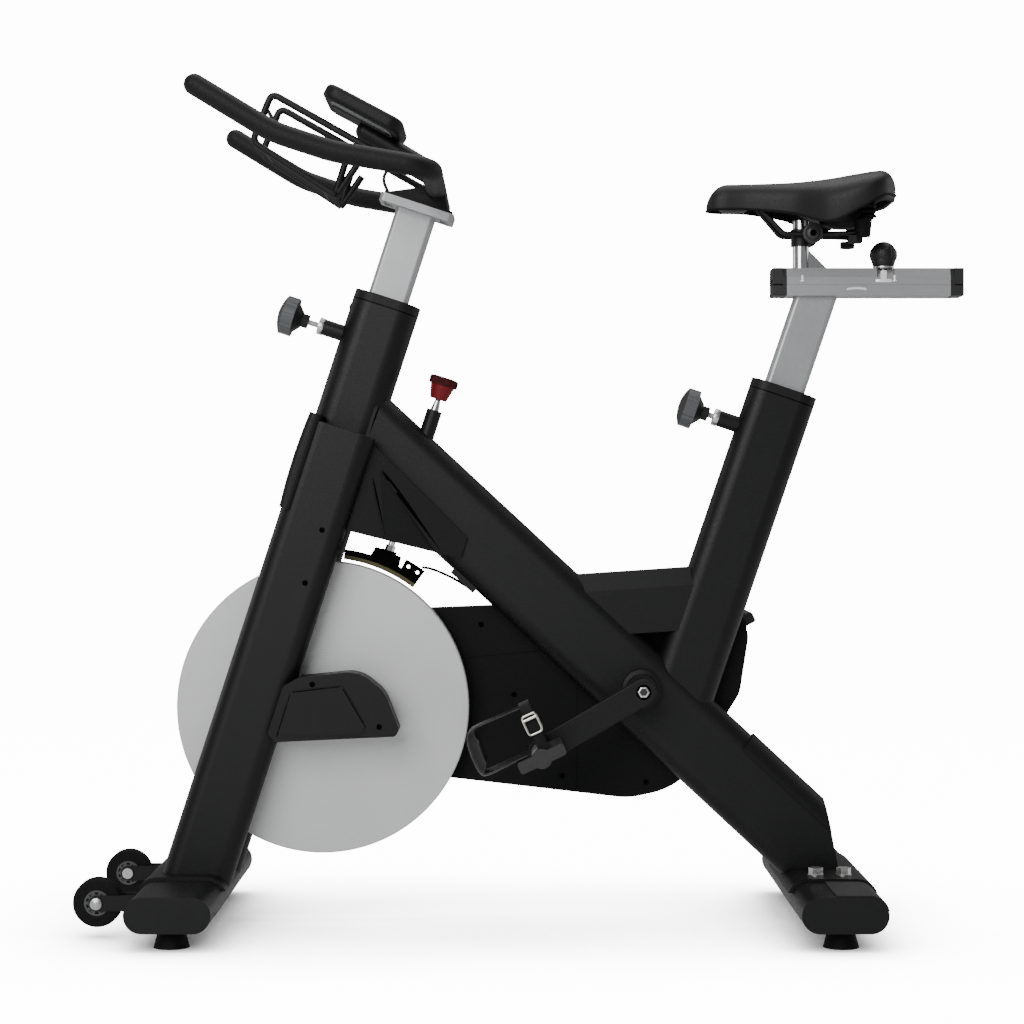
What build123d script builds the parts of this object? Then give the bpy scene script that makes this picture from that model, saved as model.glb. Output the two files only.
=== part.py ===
from build123d import *
import os
from math import asin, atan2, cos, pi, radians, sin, tan

# Indoor exercise bike, millimetres. The nose points to -X, the rider's left is -Y, the floor is Z = 0 and
# the origin lies on the floor in the middle of the bike.

# Frame lines: two leaning axes (X where they meet the floor, lean from upright) and the sloping main tube
HEAD_FOOT_X = -501.1
HEAD_LEAN = 18.0
SEAT_FOOT_X = 114.3
SEAT_LEAN = 18.8
CRANK_X = 168.5
CRANK_Z = 344.0
MAIN_SLOPE = 42.9

# General fits
WALL = 2.5
RUN_GAP = 0.4
FIT_GAP = 0.2

# Base
FRONT_STAB_X = -492.8
REAR_STAB_X = 435.9
STAB_DEPTH = 120.0
STAB_HEIGHT = 50.0
STAB_LENGTH = 508.0
STAB_CAP = 4.0
STAB_PLUG = 15.0
FOOT_HEIGHT = 26.0
FOOT_INSET = 48.0
FOOT_Y = STAB_LENGTH / 2 - FOOT_INSET
FOOT_BASE_R = 25.0
FOOT_TOP_R = 18.0
FOOT_STEM_R = 5.0
FOOT_STEM_LENGTH = 34.0
PLATE_THICK = 5.0
PLATE_DROP = 20.0
FRONT_PLATE_HALF = 114.0
REAR_PLATE_HALF = 128.0
PLATE_BOLT_X = 20.0
REAR_BOLT_Y = 93.0
FRONT_BOLT_Y = 18.0
BOLT_HEX = 18.0
BOLT_HEAD = 9.0
BOLT_WASHER_R = 11.5
BOLT_WASHER = 2.0
WHEEL_AHEAD = 114.8
WHEEL_X = FRONT_STAB_X - WHEEL_AHEAD
WHEEL_Y = 134.0
WHEEL_Z = 50.0
WHEEL_R = 34.7
WHEEL_WIDTH = 24.0
WHEEL_HUB_R = 18.0
WHEEL_SLOTS = 6
WHEEL_SIDE_GAP = 1.0
WHEEL_PLATE = 3.0
WHEEL_PLATE_HEIGHT = 22.0
WHEEL_PIN_R = 4.0
WHEEL_PIN_HEAD_R = 8.0
WHEEL_PIN_HEAD = 4.0

# Frame tubes
LEG_DEPTH = 100.0
LEG_WIDTH = 46.0
LEG_Y = 61.0
LEG_JOIN_Z = 724.0
LEG_TOP_ROUND = 2.0
HEAD_DEPTH = 100.0
HEAD_WIDTH = 60.0
HEAD_TOP_Z = 904.0
HEAD_LOW_Z = 600.0
BUSH_COLLAR = 14.0
BUSH_DEPTH = 35.0
MAIN_DEPTH = 120.0
MAIN_WIDTH = 55.0
MAIN_END_TOP = (441.0, 169.0)
MAIN_END_LOW = (457.0, 84.0)
SEAT_DEPTH = 100.0
SEAT_WIDTH = 50.0
SEAT_TOP_Z = 772.0
BRACE_WIDTH = 46.0
BRACE_TOP_Z = 517.0
BRACE_LOW_Z = 425.0
BRACE_TILT = 3.8
BRACE_MID = (180.0, 480.0)
BRACE_CAP = 26.0
BRACE_CAP_CHAMFER = 11.0

# Posts that slide in the head tube and the seat tube
POST_DEPTH = 60.0
POST_WIDTH = 30.0
POST_ROUND = 7.0
POST_HOLE_R = 4.5
POST_HOLE_PITCH = 20.0
POST_HOLES = 8
POST_HOLE_DEPTH = 8.0
BAR_POST_LOW_Z = 694.0
BAR_PLATE_Z = 1049.0
BAR_PLATE_LENGTH = 112.0
BAR_PLATE_WIDTH = 70.0
BAR_PLATE_THICK = 12.0
SEAT_POST_LOW_Z = 549.0

# Pop pins: where the pin crosses its post's axis, and how far the knob's middle stands from that axis
FRONT_PIN_Z = 851.5
FRONT_PIN_REACH = 131.0
REAR_PIN_Z = 716.0
REAR_PIN_REACH = 123.0
PIN_R = 4.0
PIN_BARREL_R = 12.0
PIN_BARREL = 35.0
PIN_NUT_HEX = 20.0
PIN_NUT = 10.0
PIN_CONE = 10.0
PIN_CONE_SHARE = 0.8
PIN_KNOB_R = 29.0
PIN_KNOB_THICK = 18.0
PIN_KNOB_DOME = 8.0
PIN_KNOB_LOBES = 12
PIN_SCALLOP_R = 6.0
PIN_SCALLOP_DEPTH = 0.9
PIN_TIP_GAP = 1.0

# Drive
FLYWHEEL_X = -298.9
FLYWHEEL_Z = 316.0
FLYWHEEL_R = 215.0
FLYWHEEL_RIM = 28.0
FLYWHEEL_RIM_INNER_R = 165.0
FLYWHEEL_WEB = 12.0
FLYWHEEL_HUB_R = 24.0
FLYWHEEL_HUB_Y = 30.0
FLYWHEEL_EDGE = 1.5
AXLE_R = 8.0
AXLE_HALF = 74.0
AXLE_SPACER = 4.0
AXLE_END = 4.0
AXLE_PLATE = 6.0
AXLE_PLATE_R = 24.0
AXLE_PLATE_RISE = 32.0
BELT_Y = 44.0
BELT_WIDTH = 18.0
BELT_THICK = 3.0
PULLEY_WIDTH = 20.0
DRIVE_PULLEY_R = 105.0
DRIVEN_PULLEY_R = 32.0
CRANK_LENGTH = 170.0
CRANK_BELOW_LEVEL = 29.9
CRANK_WIDTH = 38.0
CRANK_THICK = 16.0
CRANK_EDGE = 2.0
CRANK_INNER_Y = 82.0
CRANK_AXLE_R = 10.0
CRANK_BOLT_R = 11.0
CRANK_BOLT_SINK = 5.0
CRANK_BOLT_HEX = 14.0
CRANK_BOLT_BELOW = 1.0
BRACKET_R = 29.0
BRACKET_LEFT_Y = 42.0
BRACKET_RIGHT_Y = 29.0
BEARING_R = 20.0
BEARING_WIDTH = 12.0
BEARING_SINK = 1.0

# Pedals
PEDAL_WIDTH = 94.0
PEDAL_LENGTH = 70.0
PEDAL_HEIGHT = 17.0
PEDAL_TILT = 25.0
PEDAL_GAP = 4.0
PEDAL_BARREL_R = 14.0
PEDAL_RAIL = 9.0
SPINDLE_R = 7.0
SPINDLE_FLANGE = 3.0
SPINDLE_FLANGE_GAP = 1.0
CAGE_WIDTH = 64.0
CAGE_REACH = 80.0
CAGE_HEIGHT = 75.0
CAGE_ROUND = 16.0
CAGE_THICK = 3.0
CAGE_STRIP = 26.0
CAGE_WING = 17.0
STRAP_WIDTH = 15.0
STRAP_THICK = 2.0
STRAP_X = 8.0
STRAP_HALF = 42.0
STRAP_ROUND = 26.0

# Brake: leaning rod, shoe arc about the flywheel's centre (degrees above level, towards the rear)
BRAKE_TOP_X = -134.9
BRAKE_TOP_Z = 752.6
BRAKE_LEAN = 17.8
BRAKE_ROD_R = 5.0
BRAKE_SLEEVE_R = 11.5
BRAKE_STEM = 17.0
BRAKE_STEM_LOW_R = 6.5
BRAKE_STEM_TOP_R = 4.0
KNOB_LOW_R = 12.5
KNOB_TOP_R = 21.0
KNOB_HEIGHT = 33.0
KNOB_BAND = 12.0
KNOB_LIP = 3.0
SHOE_FROM = 53.0
SHOE_TO = 82.0
SHOE_WIDTH = 26.0
SHOE_THICK = 8.0
PAD_GAP = 4.5
PAD_THICK = 6.0
SHOE_BOSS = 22.0
SHOE_BOSS_HEIGHT = 20.0
SHOE_BOSS_ROUND = 3.0
SHOE_NUT_HEX = 13.0
SHOE_NUT = 8.0
SHOE_EAR_ARC = 7.5
SHOE_EAR_RISE = 16.0
SHOE_EAR_THICK = 4.0
SHOE_EAR_HOLE_R = 2.5
SHOE_EAR_HOLES = (0.25, 0.75)
SPRING_WIDTH = 18.0
SPRING_THICK = 1.2
SPRING_LEFT = (-153.0, 522.0)
SPRING_GRIP = 0.55
SPRING_BEND_R = 60.0
SPRING_SEAT_LENGTH = 45.0
SPRING_SEAT_THICK = 6.0
SPRING_SEAT_SIDE = 3.0
SPRING_SEAT_FROM_CRANK = 298.0

# Handlebar, rack and console
BAR_R = 15.0
BAR_X = -132.0
BAR_Z = 1076.0
BAR_HALF = 237.0
BAR_CORNER_R = 36.0
BAR_BEND_R = 170.0
BAR_REACH = ((-267.0, 1099.0), (-350.0, 1126.0), (-457.0, 1191.0))
BAR_SHOE = 4.0
BAR_SHOE_LENGTH = 104.0
BAR_SHOE_WIDTH = 64.0
BAR_NECK = 26.0
WIRE_R = 4.0
CROSS_WIRE_R = 3.2
INNER_WIRE_R = 2.6
RACK_HALF = 62.0
RACK_BEND_R = 14.0
RACK_FRONT_TOP = (-368.0, 1209.0)
RACK_FRONT_LOW = (-396.0, 1140.0)
RACK_REAR_LOW = (-275.0, 1060.0)
RACK_REAR_TOP = (-247.0, 1112.0)
RACK_INNER_HALF = 22.0
RACK_CROSS = 0.2
CONSOLE_X = -236.5
CONSOLE_Z = 1187.5
CONSOLE_TILT = 28.0
CONSOLE_LENGTH = 126.0
CONSOLE_WIDTH = 150.0
CONSOLE_THICK = 22.0
CONSOLE_ROUND = 22.0
CONSOLE_EDGE = 7.0
DISPLAY_LENGTH = 74.0
DISPLAY_WIDTH = 112.0
DISPLAY_SINK = 1.5
DISPLAY_SHIFT = -14.0
DISPLAY_ROUND = 4.0
BUTTON_LENGTH = 14.0
BUTTON_WIDTH = 34.0
BUTTON_PROUD = 1.5
BUTTON_SHIFT = 43.0
BUTTON_DEPTH = 5.0
BUTTON_TRAVEL = 1.0
BUTTON_ROUND = 4.0
ARM_R = 14.0
ARM_PLATE = 3.0
ARM_PLATE_LENGTH = 96.0
ARM_PLATE_WIDTH = 60.0
ARM_PLATE_ROUND = 8.0
ARM_END_SHIFT = 10.0
ARM_KNEE_AHEAD = 13.0
ARM_KNEE_RISE = 33.0
ARM_BEND_R = 20.0
LEAD_R = 2.5
LEAD_ARC_SHARE = 0.45
LEAD_POINTS = ((-197.0, 1125.0), (-203.0, 1110.0), (-211.0, 1097.0), (-208.0, 1083.0), (-200.0, 1069.0))

# Seat
RAIL_Z = 920.0
RAIL_FRONT_X = 362.7
RAIL_REAR_X = 642.3
RAIL_WIDTH = 50.0
RAIL_HEIGHT = 16.0
RAIL_TONGUE = 24.0
RAIL_TONGUE_HEIGHT = 8.0
RAIL_CAP = 14.0
CARRIAGE_HEIGHT = 25.0
CARRIAGE_BEVEL = 14.0
CARRIAGE_BEVEL_IN = 5.0
NOTCH_WIDTH = 26.0
STEM_X = 406.0
STEM_R = 12.0
STEM_TOP_Z = 1032.0
GUSSET_LENGTH = 27.0
GUSSET_RISE = 27.0
GUSSET_THICK = 6.0
SEAT_KNOB_X = 528.0
SEAT_KNOB_R = 19.5
SEAT_KNOB_SEAT = 0.9
SEAT_KNOB_WASHER_R = 13.0
SEAT_KNOB_WASHER = 3.5
SEAT_KNOB_SCREW_R = 4.0
CLAMP_PLATE = 4.0
CLAMP_PLATE_GAP = 2.0
CLAMP_X = 420.0
CLAMP_Z = 1011.0
CLAMP_R = 14.0
CLAMP_BARREL_R = 11.0
CLAMP_LOW_Z = 994.0
CLAMP_TOP_Z = 1019.0
CLAMP_COLLAR_R = 14.8
CLAMP_HALF = 15.0
KNUCKLE_WIDTH = 14.0
RAILWIRE_R = 3.5
RAILWIRE_Y = 22.0
RAILWIRE_BEND_R = 14.0
RAILWIRE_NOSE_X = 333.0
RAILWIRE_NOSE_Y = 14.0
RAILWIRE_BEND_X = 378.0
RAILWIRE_REAR_X = 486.0
BUMPER_X = 498.0
BUMPER_Y = 40.0
BUMPER_R = 14.0
BUMPER_CUP_R = 12.5
BUMPER_CUP_Z = 1004.0
BUMPER_FOLD_Z = 1026.0
BUMPER_FOLDS = 3
BUMPER_CORE = 0.78
BUMPER_PITCH = 9.0
BUMPER_NUT_HEX = 19.0
BUMPER_NUT = 9.0
SHELL_THICK = 4.0
SKIRT = 16.0
SKIRT_SIDE = 9.0
SKIRT_SHARE = 0.6
PAD_SHOULDER = 0.86
PAD_SHOULDER_RISE = 0.72
PAD_BELLY_RISE = 0.38
SHELL_EDGE_GAP = 1.0
# Saddle stations: X, half width, underside of the skirt, top of the crown
SADDLE_STATIONS = (
    (269.0, 17.0, 1050.0, 1064.0),
    (282.0, 25.0, 1047.5, 1077.0),
    (330.0, 29.0, 1046.0, 1083.5),
    (390.0, 48.0, 1038.0, 1087.0),
    (438.0, 84.0, 1023.0, 1092.0),
    (486.0, 98.0, 1044.0, 1102.0),
    (521.0, 88.0, 1060.0, 1106.0),
    (543.0, 58.0, 1064.0, 1095.0),
)

# Covers
COVER_WALL = 2.5
FORK_COVER_TOP_Z = 732.0
FORK_COVER_MID_Z = 660.0
FORK_COVER_LOW_Z = 595.0
FORK_COVER_WRAP = 17.0
FORK_COVER_PROUD = 1.5
FORK_COVER_BULGE = 4.5
FORK_COVER_HALF = LEG_Y + LEG_WIDTH / 2 + COVER_WALL
BRAKE_COVER_OUTLINE = ((-230.0, 708.0), (-86.0, 565.0), (-95.0, 536.0), (-123.0, 541.0), (-269.0, 578.0))
BRAKE_COVER_FRONT_HALF = 62.0
BRAKE_COVER_REAR_HALF = 32.0
FLUTE_TOP = (-213.0, 665.0)
FLUTE_LOW_REAR = (-122.6, 530.0)
FLUTE_LOW_FRONT = (-206.0, 545.0)
FLUTE_DEPTH = 9.0
FLUTE_LINE = ((-224.5, 652.0), (-206.5, 556.0))
SEAM_WIDTH = 1.2
SEAM_DEPTH = 1.2
AXLE_COVER_OUTLINE = (
    (-327.0, 365.0), (-241.0, 374.0), (-204.0, 344.0), (-183.0, 290.0), (-188.0, 280.0),
    (-360.0, 272.0), (-372.0, 284.0), (-350.0, 352.0),
)
AXLE_COVER_OUTER_Y = 95.0
AXLE_COVER_INNER_Y = 42.0
AXLE_COVER_PANEL = 2.0
AXLE_COVER_CORNER = 6.0
AXLE_COVER_SHOULDER = 50.0
AXLE_COVER_PANEL_OUTLINE = ((-362.0, 280.0), (-338.0, 345.0), (-264.0, 353.0), (-224.0, 283.0))
AXLE_COVER_PANEL_ROUND = 12.0
GUARD_INNER_Y = 30.0
GUARD_SPLIT_Y = 50.0
GUARD_OUTER_Y = 78.0
GUARD_EDGE = 8.0
GUARD_CORNER = 34.0
GUARD_LEG_GAP = 1.0
GUARD_TOP_Z = 453.0
GUARD_TOP_REAR = (250.0, 474.0)
GUARD_REAR_HIGH = (335.0, 436.0)
GUARD_REAR_LOW = (319.0, 333.0)
GUARD_HEEL = (233.0, 194.0)
GUARD_HEEL_FRONT = (154.0, 176.0)
GUARD_HEEL_R = 110.0
GUARD_LOW_Z = 236.5
GUARD_HOLE_GAP = 4.0
GUARD_SEAM = ((-215.0, 373.4), (76.3, 400.4), (76.3, 150.0))
TUBE_GUARD_FROM_CRANK = 170.0
TUBE_GUARD_THICK = 4.0
TUBE_GUARD_WRAP = 24.0


def leaning_plane(foot_x, lean, height):
    """Plane square to a leaning axis at a height on it; local x runs to the rear, local y is the bike's."""
    turn = radians(lean)
    return Plane(
        origin=(foot_x + height * tan(turn), 0, height),
        x_dir=(cos(turn), 0, -sin(turn)),
        z_dir=(sin(turn), 0, cos(turn)),
    )


def head_plane(height):
    return leaning_plane(HEAD_FOOT_X, HEAD_LEAN, height)


def seat_plane(height):
    return leaning_plane(SEAT_FOOT_X, SEAT_LEAN, height)


def along(lean, rise):
    """Length along an axis of the given lean that climbs by rise."""
    return rise / cos(radians(lean))


def side_plane(y):
    """Plane seen from the rider's right: local x is the bike's X, local y its Z, the normal runs to -Y."""
    return Plane(origin=(0, y, 0), x_dir=(1, 0, 0), z_dir=(0, -1, 0))


def slab(sketch, y_from, y_to):
    """Outline in X and Z made a plate between two values of Y."""
    return extrude(side_plane(y_to) * sketch, amount=y_to - y_from)


def rod(center_x, center_z, radius, y_from, y_to):
    """Round bar along Y."""
    return slab(Pos(center_x, center_z) * Circle(radius), y_from, y_to)


def hexagon(across_flats):
    return RegularPolygon(across_flats / 2, 6, major_radius=False)


def mirrored(shape):
    """The other side's copy, across the bike's middle plane."""
    return mirror(shape, about=Plane.XZ)


def group(*shapes):
    """Separate solids kept in one node."""
    return Compound([solid for shape in shapes for solid in shape.solids()])


def round_path(points, radii):
    """Straight runs joined by tangent arcs."""
    return FilletPolyline(*points, radius=radii)


def tube_along(path, radius):
    """Round bar swept along a path, flat at both ends."""
    start = Plane(origin=path @ 0, z_dir=path % 0)
    return sweep(start * Circle(radius), path=path)


def stab_plane(center_x, y):
    return Plane(origin=(center_x, y, FOOT_HEIGHT + STAB_HEIGHT / 2), x_dir=(1, 0, 0), z_dir=(0, 1, 0))


def stab_prism(center_x, grow, half):
    """Flat-oval bar along Y, the stabiliser's section grown all round."""
    section = SlotOverall(STAB_DEPTH + 2 * grow, STAB_HEIGHT + 2 * grow)
    return extrude(stab_plane(center_x, -half) * section, amount=2 * half)


PLATE_TOP_Z = FOOT_HEIGHT + STAB_HEIGHT + FIT_GAP + PLATE_THICK


def foot_stem_hole(center_x, side):
    start = Plane(origin=(center_x, side * FOOT_Y, 0))
    return extrude(start * Circle(FOOT_STEM_R + RUN_GAP), amount=FOOT_HEIGHT + STAB_HEIGHT / 2)


def stabiliser_caps(center_x):
    """Plug caps that close both ends of a stabiliser tube."""
    tube_half = STAB_LENGTH / 2 - STAB_CAP
    lip = stab_prism(center_x, 0, STAB_LENGTH / 2) - stab_prism(center_x, 1, tube_half)
    plug_outer = stab_prism(center_x, -WALL - FIT_GAP, tube_half)
    plugs = plug_outer - stab_prism(center_x, 1, tube_half - STAB_PLUG)
    return lip + plugs


def stabiliser_tube(center_x):
    tube_half = STAB_LENGTH / 2 - STAB_CAP
    tube = stab_prism(center_x, 0, tube_half)
    return tube, stab_prism(center_x, -WALL, tube_half)


def wheel_brackets():
    """Two pairs of plates that carry the transport wheels, welded to the front stabiliser."""
    reach = FRONT_STAB_X - STAB_DEPTH / 2 + STAB_HEIGHT / 4 - WHEEL_X
    outline = Pos(WHEEL_X + reach / 2, WHEEL_Z) * Rectangle(reach, WHEEL_PLATE_HEIGHT)
    outline += Pos(WHEEL_X, WHEEL_Z) * Circle(WHEEL_PLATE_HEIGHT / 2)
    outline -= Pos(WHEEL_X, WHEEL_Z) * Circle(WHEEL_PIN_R + FIT_GAP)
    inside = WHEEL_WIDTH / 2 + WHEEL_SIDE_GAP
    plates = []
    for wheel_y in (-WHEEL_Y, WHEEL_Y):
        plates.append(slab(outline, wheel_y - inside - WHEEL_PLATE, wheel_y - inside))
        plates.append(slab(outline, wheel_y + inside, wheel_y + inside + WHEEL_PLATE))
    return plates


def front_stabiliser():
    tube, hollow = stabiliser_tube(FRONT_STAB_X)
    for plate in wheel_brackets():
        tube += plate
    tube -= hollow
    for side in (-1, 1):
        tube -= foot_stem_hole(FRONT_STAB_X, side)
    return group(tube, stabiliser_caps(FRONT_STAB_X))


def rear_stabiliser():
    tube, hollow = stabiliser_tube(REAR_STAB_X)
    tube -= hollow
    for side in (-1, 1):
        tube -= foot_stem_hole(REAR_STAB_X, side)
    return group(tube, stabiliser_caps(REAR_STAB_X))


def stabiliser_plate(center_x, half):
    """Plate bent over the stabiliser's top and round its two edges."""
    outer = stab_prism(center_x, FIT_GAP + PLATE_THICK, half)
    plate = outer - stab_prism(center_x, FIT_GAP, half + 1)
    low = Pos(center_x, 0, PLATE_TOP_Z - PLATE_DROP - STAB_HEIGHT) * Box(
        2 * STAB_DEPTH, 4 * half, 2 * STAB_HEIGHT
    )
    return plate - low


def stabiliser_plates():
    return group(
        stabiliser_plate(FRONT_STAB_X, FRONT_PLATE_HALF), stabiliser_plate(REAR_STAB_X, REAR_PLATE_HALF)
    )


def plate_bolt(x, y):
    """Hex bolt and washer standing on a saddle plate."""
    washer = Pos(x, y, PLATE_TOP_Z) * extrude(Circle(BOLT_WASHER_R), amount=BOLT_WASHER)
    head = Pos(x, y, PLATE_TOP_Z + BOLT_WASHER) * extrude(hexagon(BOLT_HEX), amount=BOLT_HEAD)
    return washer + head


def wheel_pin(wheel_y):
    """Domed bolt through a wheel and its two plates."""
    half = WHEEL_WIDTH / 2 + WHEEL_SIDE_GAP + WHEEL_PLATE
    shank = rod(WHEEL_X, WHEEL_Z, WHEEL_PIN_R, wheel_y - half, wheel_y + half)
    head_low = rod(WHEEL_X, WHEEL_Z, WHEEL_PIN_HEAD_R, wheel_y - half - WHEEL_PIN_HEAD, wheel_y - half)
    head_high = rod(WHEEL_X, WHEEL_Z, WHEEL_PIN_HEAD_R, wheel_y + half, wheel_y + half + WHEEL_PIN_HEAD)
    return shank + head_low + head_high


def frame_bolts():
    bolts = []
    for x_side in (-1, 1):
        for y_side in (-1, 1):
            bolts.append(plate_bolt(REAR_STAB_X + x_side * PLATE_BOLT_X, y_side * REAR_BOLT_Y))
            bolts.append(plate_bolt(FRONT_STAB_X + x_side * PLATE_BOLT_X, y_side * FRONT_BOLT_Y))
    bolts.append(wheel_pin(-WHEEL_Y))
    bolts.append(wheel_pin(WHEEL_Y))
    return group(*bolts)


def levelling_foot(center_x, y):
    """Rubber cone on a screw stem that runs up into the stabiliser."""
    cone = loft([Circle(FOOT_BASE_R), Pos(0, 0, FOOT_HEIGHT) * Circle(FOOT_TOP_R)])
    stem = Pos(0, 0, FOOT_HEIGHT) * extrude(Circle(FOOT_STEM_R), amount=FOOT_STEM_LENGTH)
    return Pos(center_x, y, 0) * (cone + stem)


def transport_wheel(wheel_y):
    """Plain wheel with a slotted hub face on both sides."""
    low = wheel_y - WHEEL_WIDTH / 2
    high = wheel_y + WHEEL_WIDTH / 2
    wheel = rod(WHEEL_X, WHEEL_Z, WHEEL_R, low, high)
    wheel = fillet(wheel.edges().filter_by(GeomType.CIRCLE), WHEEL_WIDTH / 6)
    slot_reach = (WHEEL_HUB_R + WHEEL_PIN_HEAD_R) / 2
    slot_r = (WHEEL_HUB_R - WHEEL_PIN_HEAD_R) / 3
    slot = Sketch() + [
        Pos(WHEEL_X, WHEEL_Z) * Rot(0, 0, turn * 360 / WHEEL_SLOTS) * Pos(slot_reach, 0) * Circle(slot_r)
        for turn in range(WHEEL_SLOTS)
    ]
    wheel -= slab(slot, low, low + WHEEL_WIDTH / 4)
    wheel -= slab(slot, high - WHEEL_WIDTH / 4, high)
    return wheel - rod(WHEEL_X, WHEEL_Z, WHEEL_PIN_R + RUN_GAP, low, high)


def leg_bar(side, grow):
    """Straight leg beside the flywheel: a flat-oval bar, grown all round and at its top."""
    low_z = FOOT_HEIGHT + STAB_HEIGHT / 2
    axis = head_plane(low_z)
    foot = Plane(origin=axis.origin + Vector(0, side * LEG_Y, 0), x_dir=axis.x_dir, z_dir=axis.z_dir)
    return oval_prism(foot, LEG_DEPTH, LEG_WIDTH, grow, along(HEAD_LEAN, LEG_JOIN_Z - low_z) + grow)


def post_prism(plane, grow, length):
    section = RectangleRounded(POST_DEPTH + 2 * grow, POST_WIDTH + 2 * grow, POST_ROUND + grow)
    return extrude(plane * section, amount=length)


def axle_plate():
    """Plate from the leg's rear edge to the flywheel axle."""
    leg_x = HEAD_FOOT_X + FLYWHEEL_Z * tan(radians(HEAD_LEAN))
    spread = AXLE_PLATE_RISE * tan(radians(HEAD_LEAN))
    outline = make_face(
        Polyline(
            (FLYWHEEL_X, FLYWHEEL_Z - AXLE_PLATE_R),
            (FLYWHEEL_X, FLYWHEEL_Z + AXLE_PLATE_R),
            (leg_x + spread, FLYWHEEL_Z + AXLE_PLATE_RISE),
            (leg_x - spread, FLYWHEEL_Z - AXLE_PLATE_RISE),
            close=True,
        )
    )
    outline += Pos(FLYWHEEL_X, FLYWHEEL_Z) * Circle(AXLE_PLATE_R)
    outline -= Pos(FLYWHEEL_X, FLYWHEEL_Z) * Circle(AXLE_R + FIT_GAP)
    return slab(outline, -LEG_Y - AXLE_PLATE / 2, -LEG_Y + AXLE_PLATE / 2)


def left_fork_leg():
    leg = leg_bar(-1, 0)
    upward = Axis((0, 0, 0), tuple(head_plane(0).z_dir))
    leg = fillet(leg.faces().sort_by(upward)[-1].edges(), LEG_TOP_ROUND)
    leg = leg + axle_plate() - leg_bar(-1, -WALL)
    leg -= stab_prism(FRONT_STAB_X, FIT_GAP + PLATE_THICK, STAB_LENGTH)
    low = Plane(origin=(0, 0, PLATE_TOP_Z - PLATE_DROP))
    return split(leg, bisect_by=low, keep=Keep.TOP)


def pin_plane(post_plane):
    """Plane on a post's axis that looks forward, square to the post."""
    return Plane(origin=post_plane.origin, x_dir=(0, 1, 0), z_dir=-post_plane.x_dir)


def disc(plane, radius, start, length):
    return extrude(plane.offset(start) * Circle(radius), amount=length)


def oval_prism(plane, depth, width, grow, length):
    return extrude(plane * SlotOverall(depth + 2 * grow, width + 2 * grow), amount=length)


def pin_barrel(plane, tube_depth):
    return disc(plane, PIN_BARREL_R, 0, tube_depth / 2 + PIN_BARREL)


def pin_bore(plane, tube_depth):
    return disc(plane, PIN_R + RUN_GAP, 0, tube_depth + PIN_BARREL)


def head_tube():
    """Head tube, open at both ends, with a spacer block on each side that a leg is welded to."""
    length = along(HEAD_LEAN, HEAD_TOP_Z - HEAD_LOW_Z)
    base = head_plane(HEAD_LOW_Z)
    pin = pin_plane(head_plane(FRONT_PIN_Z))
    tube = oval_prism(base, HEAD_DEPTH, HEAD_WIDTH, 0, length) + pin_barrel(pin, HEAD_DEPTH)
    rise = along(HEAD_LEAN, LEG_JOIN_Z - HEAD_LOW_Z)
    tube += base * Pos(0, 0, rise / 2) * Box(HEAD_DEPTH - HEAD_WIDTH, 2 * LEG_Y - LEG_WIDTH, rise)
    tube -= oval_prism(base, HEAD_DEPTH, HEAD_WIDTH, -WALL, length)
    return tube - pin_bore(pin, HEAD_DEPTH)


def head_envelope(grow):
    return oval_prism(head_plane(LEG_JOIN_Z - 2 * HEAD_DEPTH), HEAD_DEPTH, HEAD_WIDTH, grow, 4 * HEAD_DEPTH)


def main_plane(distance):
    """Plane square to the main tube, a distance to the rear of the crank; local x points out of its top."""
    slope = radians(MAIN_SLOPE)
    heading = Vector(cos(slope), 0, -sin(slope))
    crank = Vector(CRANK_X, 0, CRANK_Z)
    return Plane(origin=crank + heading * distance, x_dir=(sin(slope), 0, cos(slope)), z_dir=heading)


def main_point(distance, out):
    """Point in X and Z on the main tube's middle plane."""
    plane = main_plane(distance)
    spot = plane.origin + plane.x_dir * out
    return (spot.X, spot.Z)


def head_crossing():
    """Distance from the crank to the head axis along the main tube, negative because it lies forward."""
    slope = radians(MAIN_SLOPE)
    lean = tan(radians(HEAD_LEAN))
    return (HEAD_FOOT_X + lean * CRANK_Z - CRANK_X) / (cos(slope) + lean * sin(slope))


def main_prism(grow):
    start = head_crossing()
    length = REAR_STAB_X + 2 * STAB_DEPTH - CRANK_X - start
    return oval_prism(main_plane(start), MAIN_DEPTH, MAIN_WIDTH, grow, length)


def main_end_plane(inset):
    run = Vector(MAIN_END_LOW[0] - MAIN_END_TOP[0], 0, MAIN_END_LOW[1] - MAIN_END_TOP[1]).normalized()
    normal = Vector(-run.Z, 0, run.X)
    return Plane(origin=Vector(MAIN_END_TOP[0], 0, MAIN_END_TOP[1]) - normal * inset, z_dir=normal)


def brake_plane(height):
    foot_x = BRAKE_TOP_X - BRAKE_TOP_Z * tan(radians(BRAKE_LEAN))
    return leaning_plane(foot_x, BRAKE_LEAN, height)


def spring_seat():
    """Small pad welded under the main tube that holds the leaf spring's fixed end."""
    middle = main_plane(-SPRING_SEAT_FROM_CRANK)
    low = -MAIN_DEPTH / 2 - SPRING_SEAT_THICK
    height = SPRING_SEAT_THICK * 2
    width = SPRING_WIDTH + 2 * SPRING_SEAT_SIDE
    return middle * Pos(low + height / 2, 0, 0) * Box(height, width, SPRING_SEAT_LENGTH)


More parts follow.
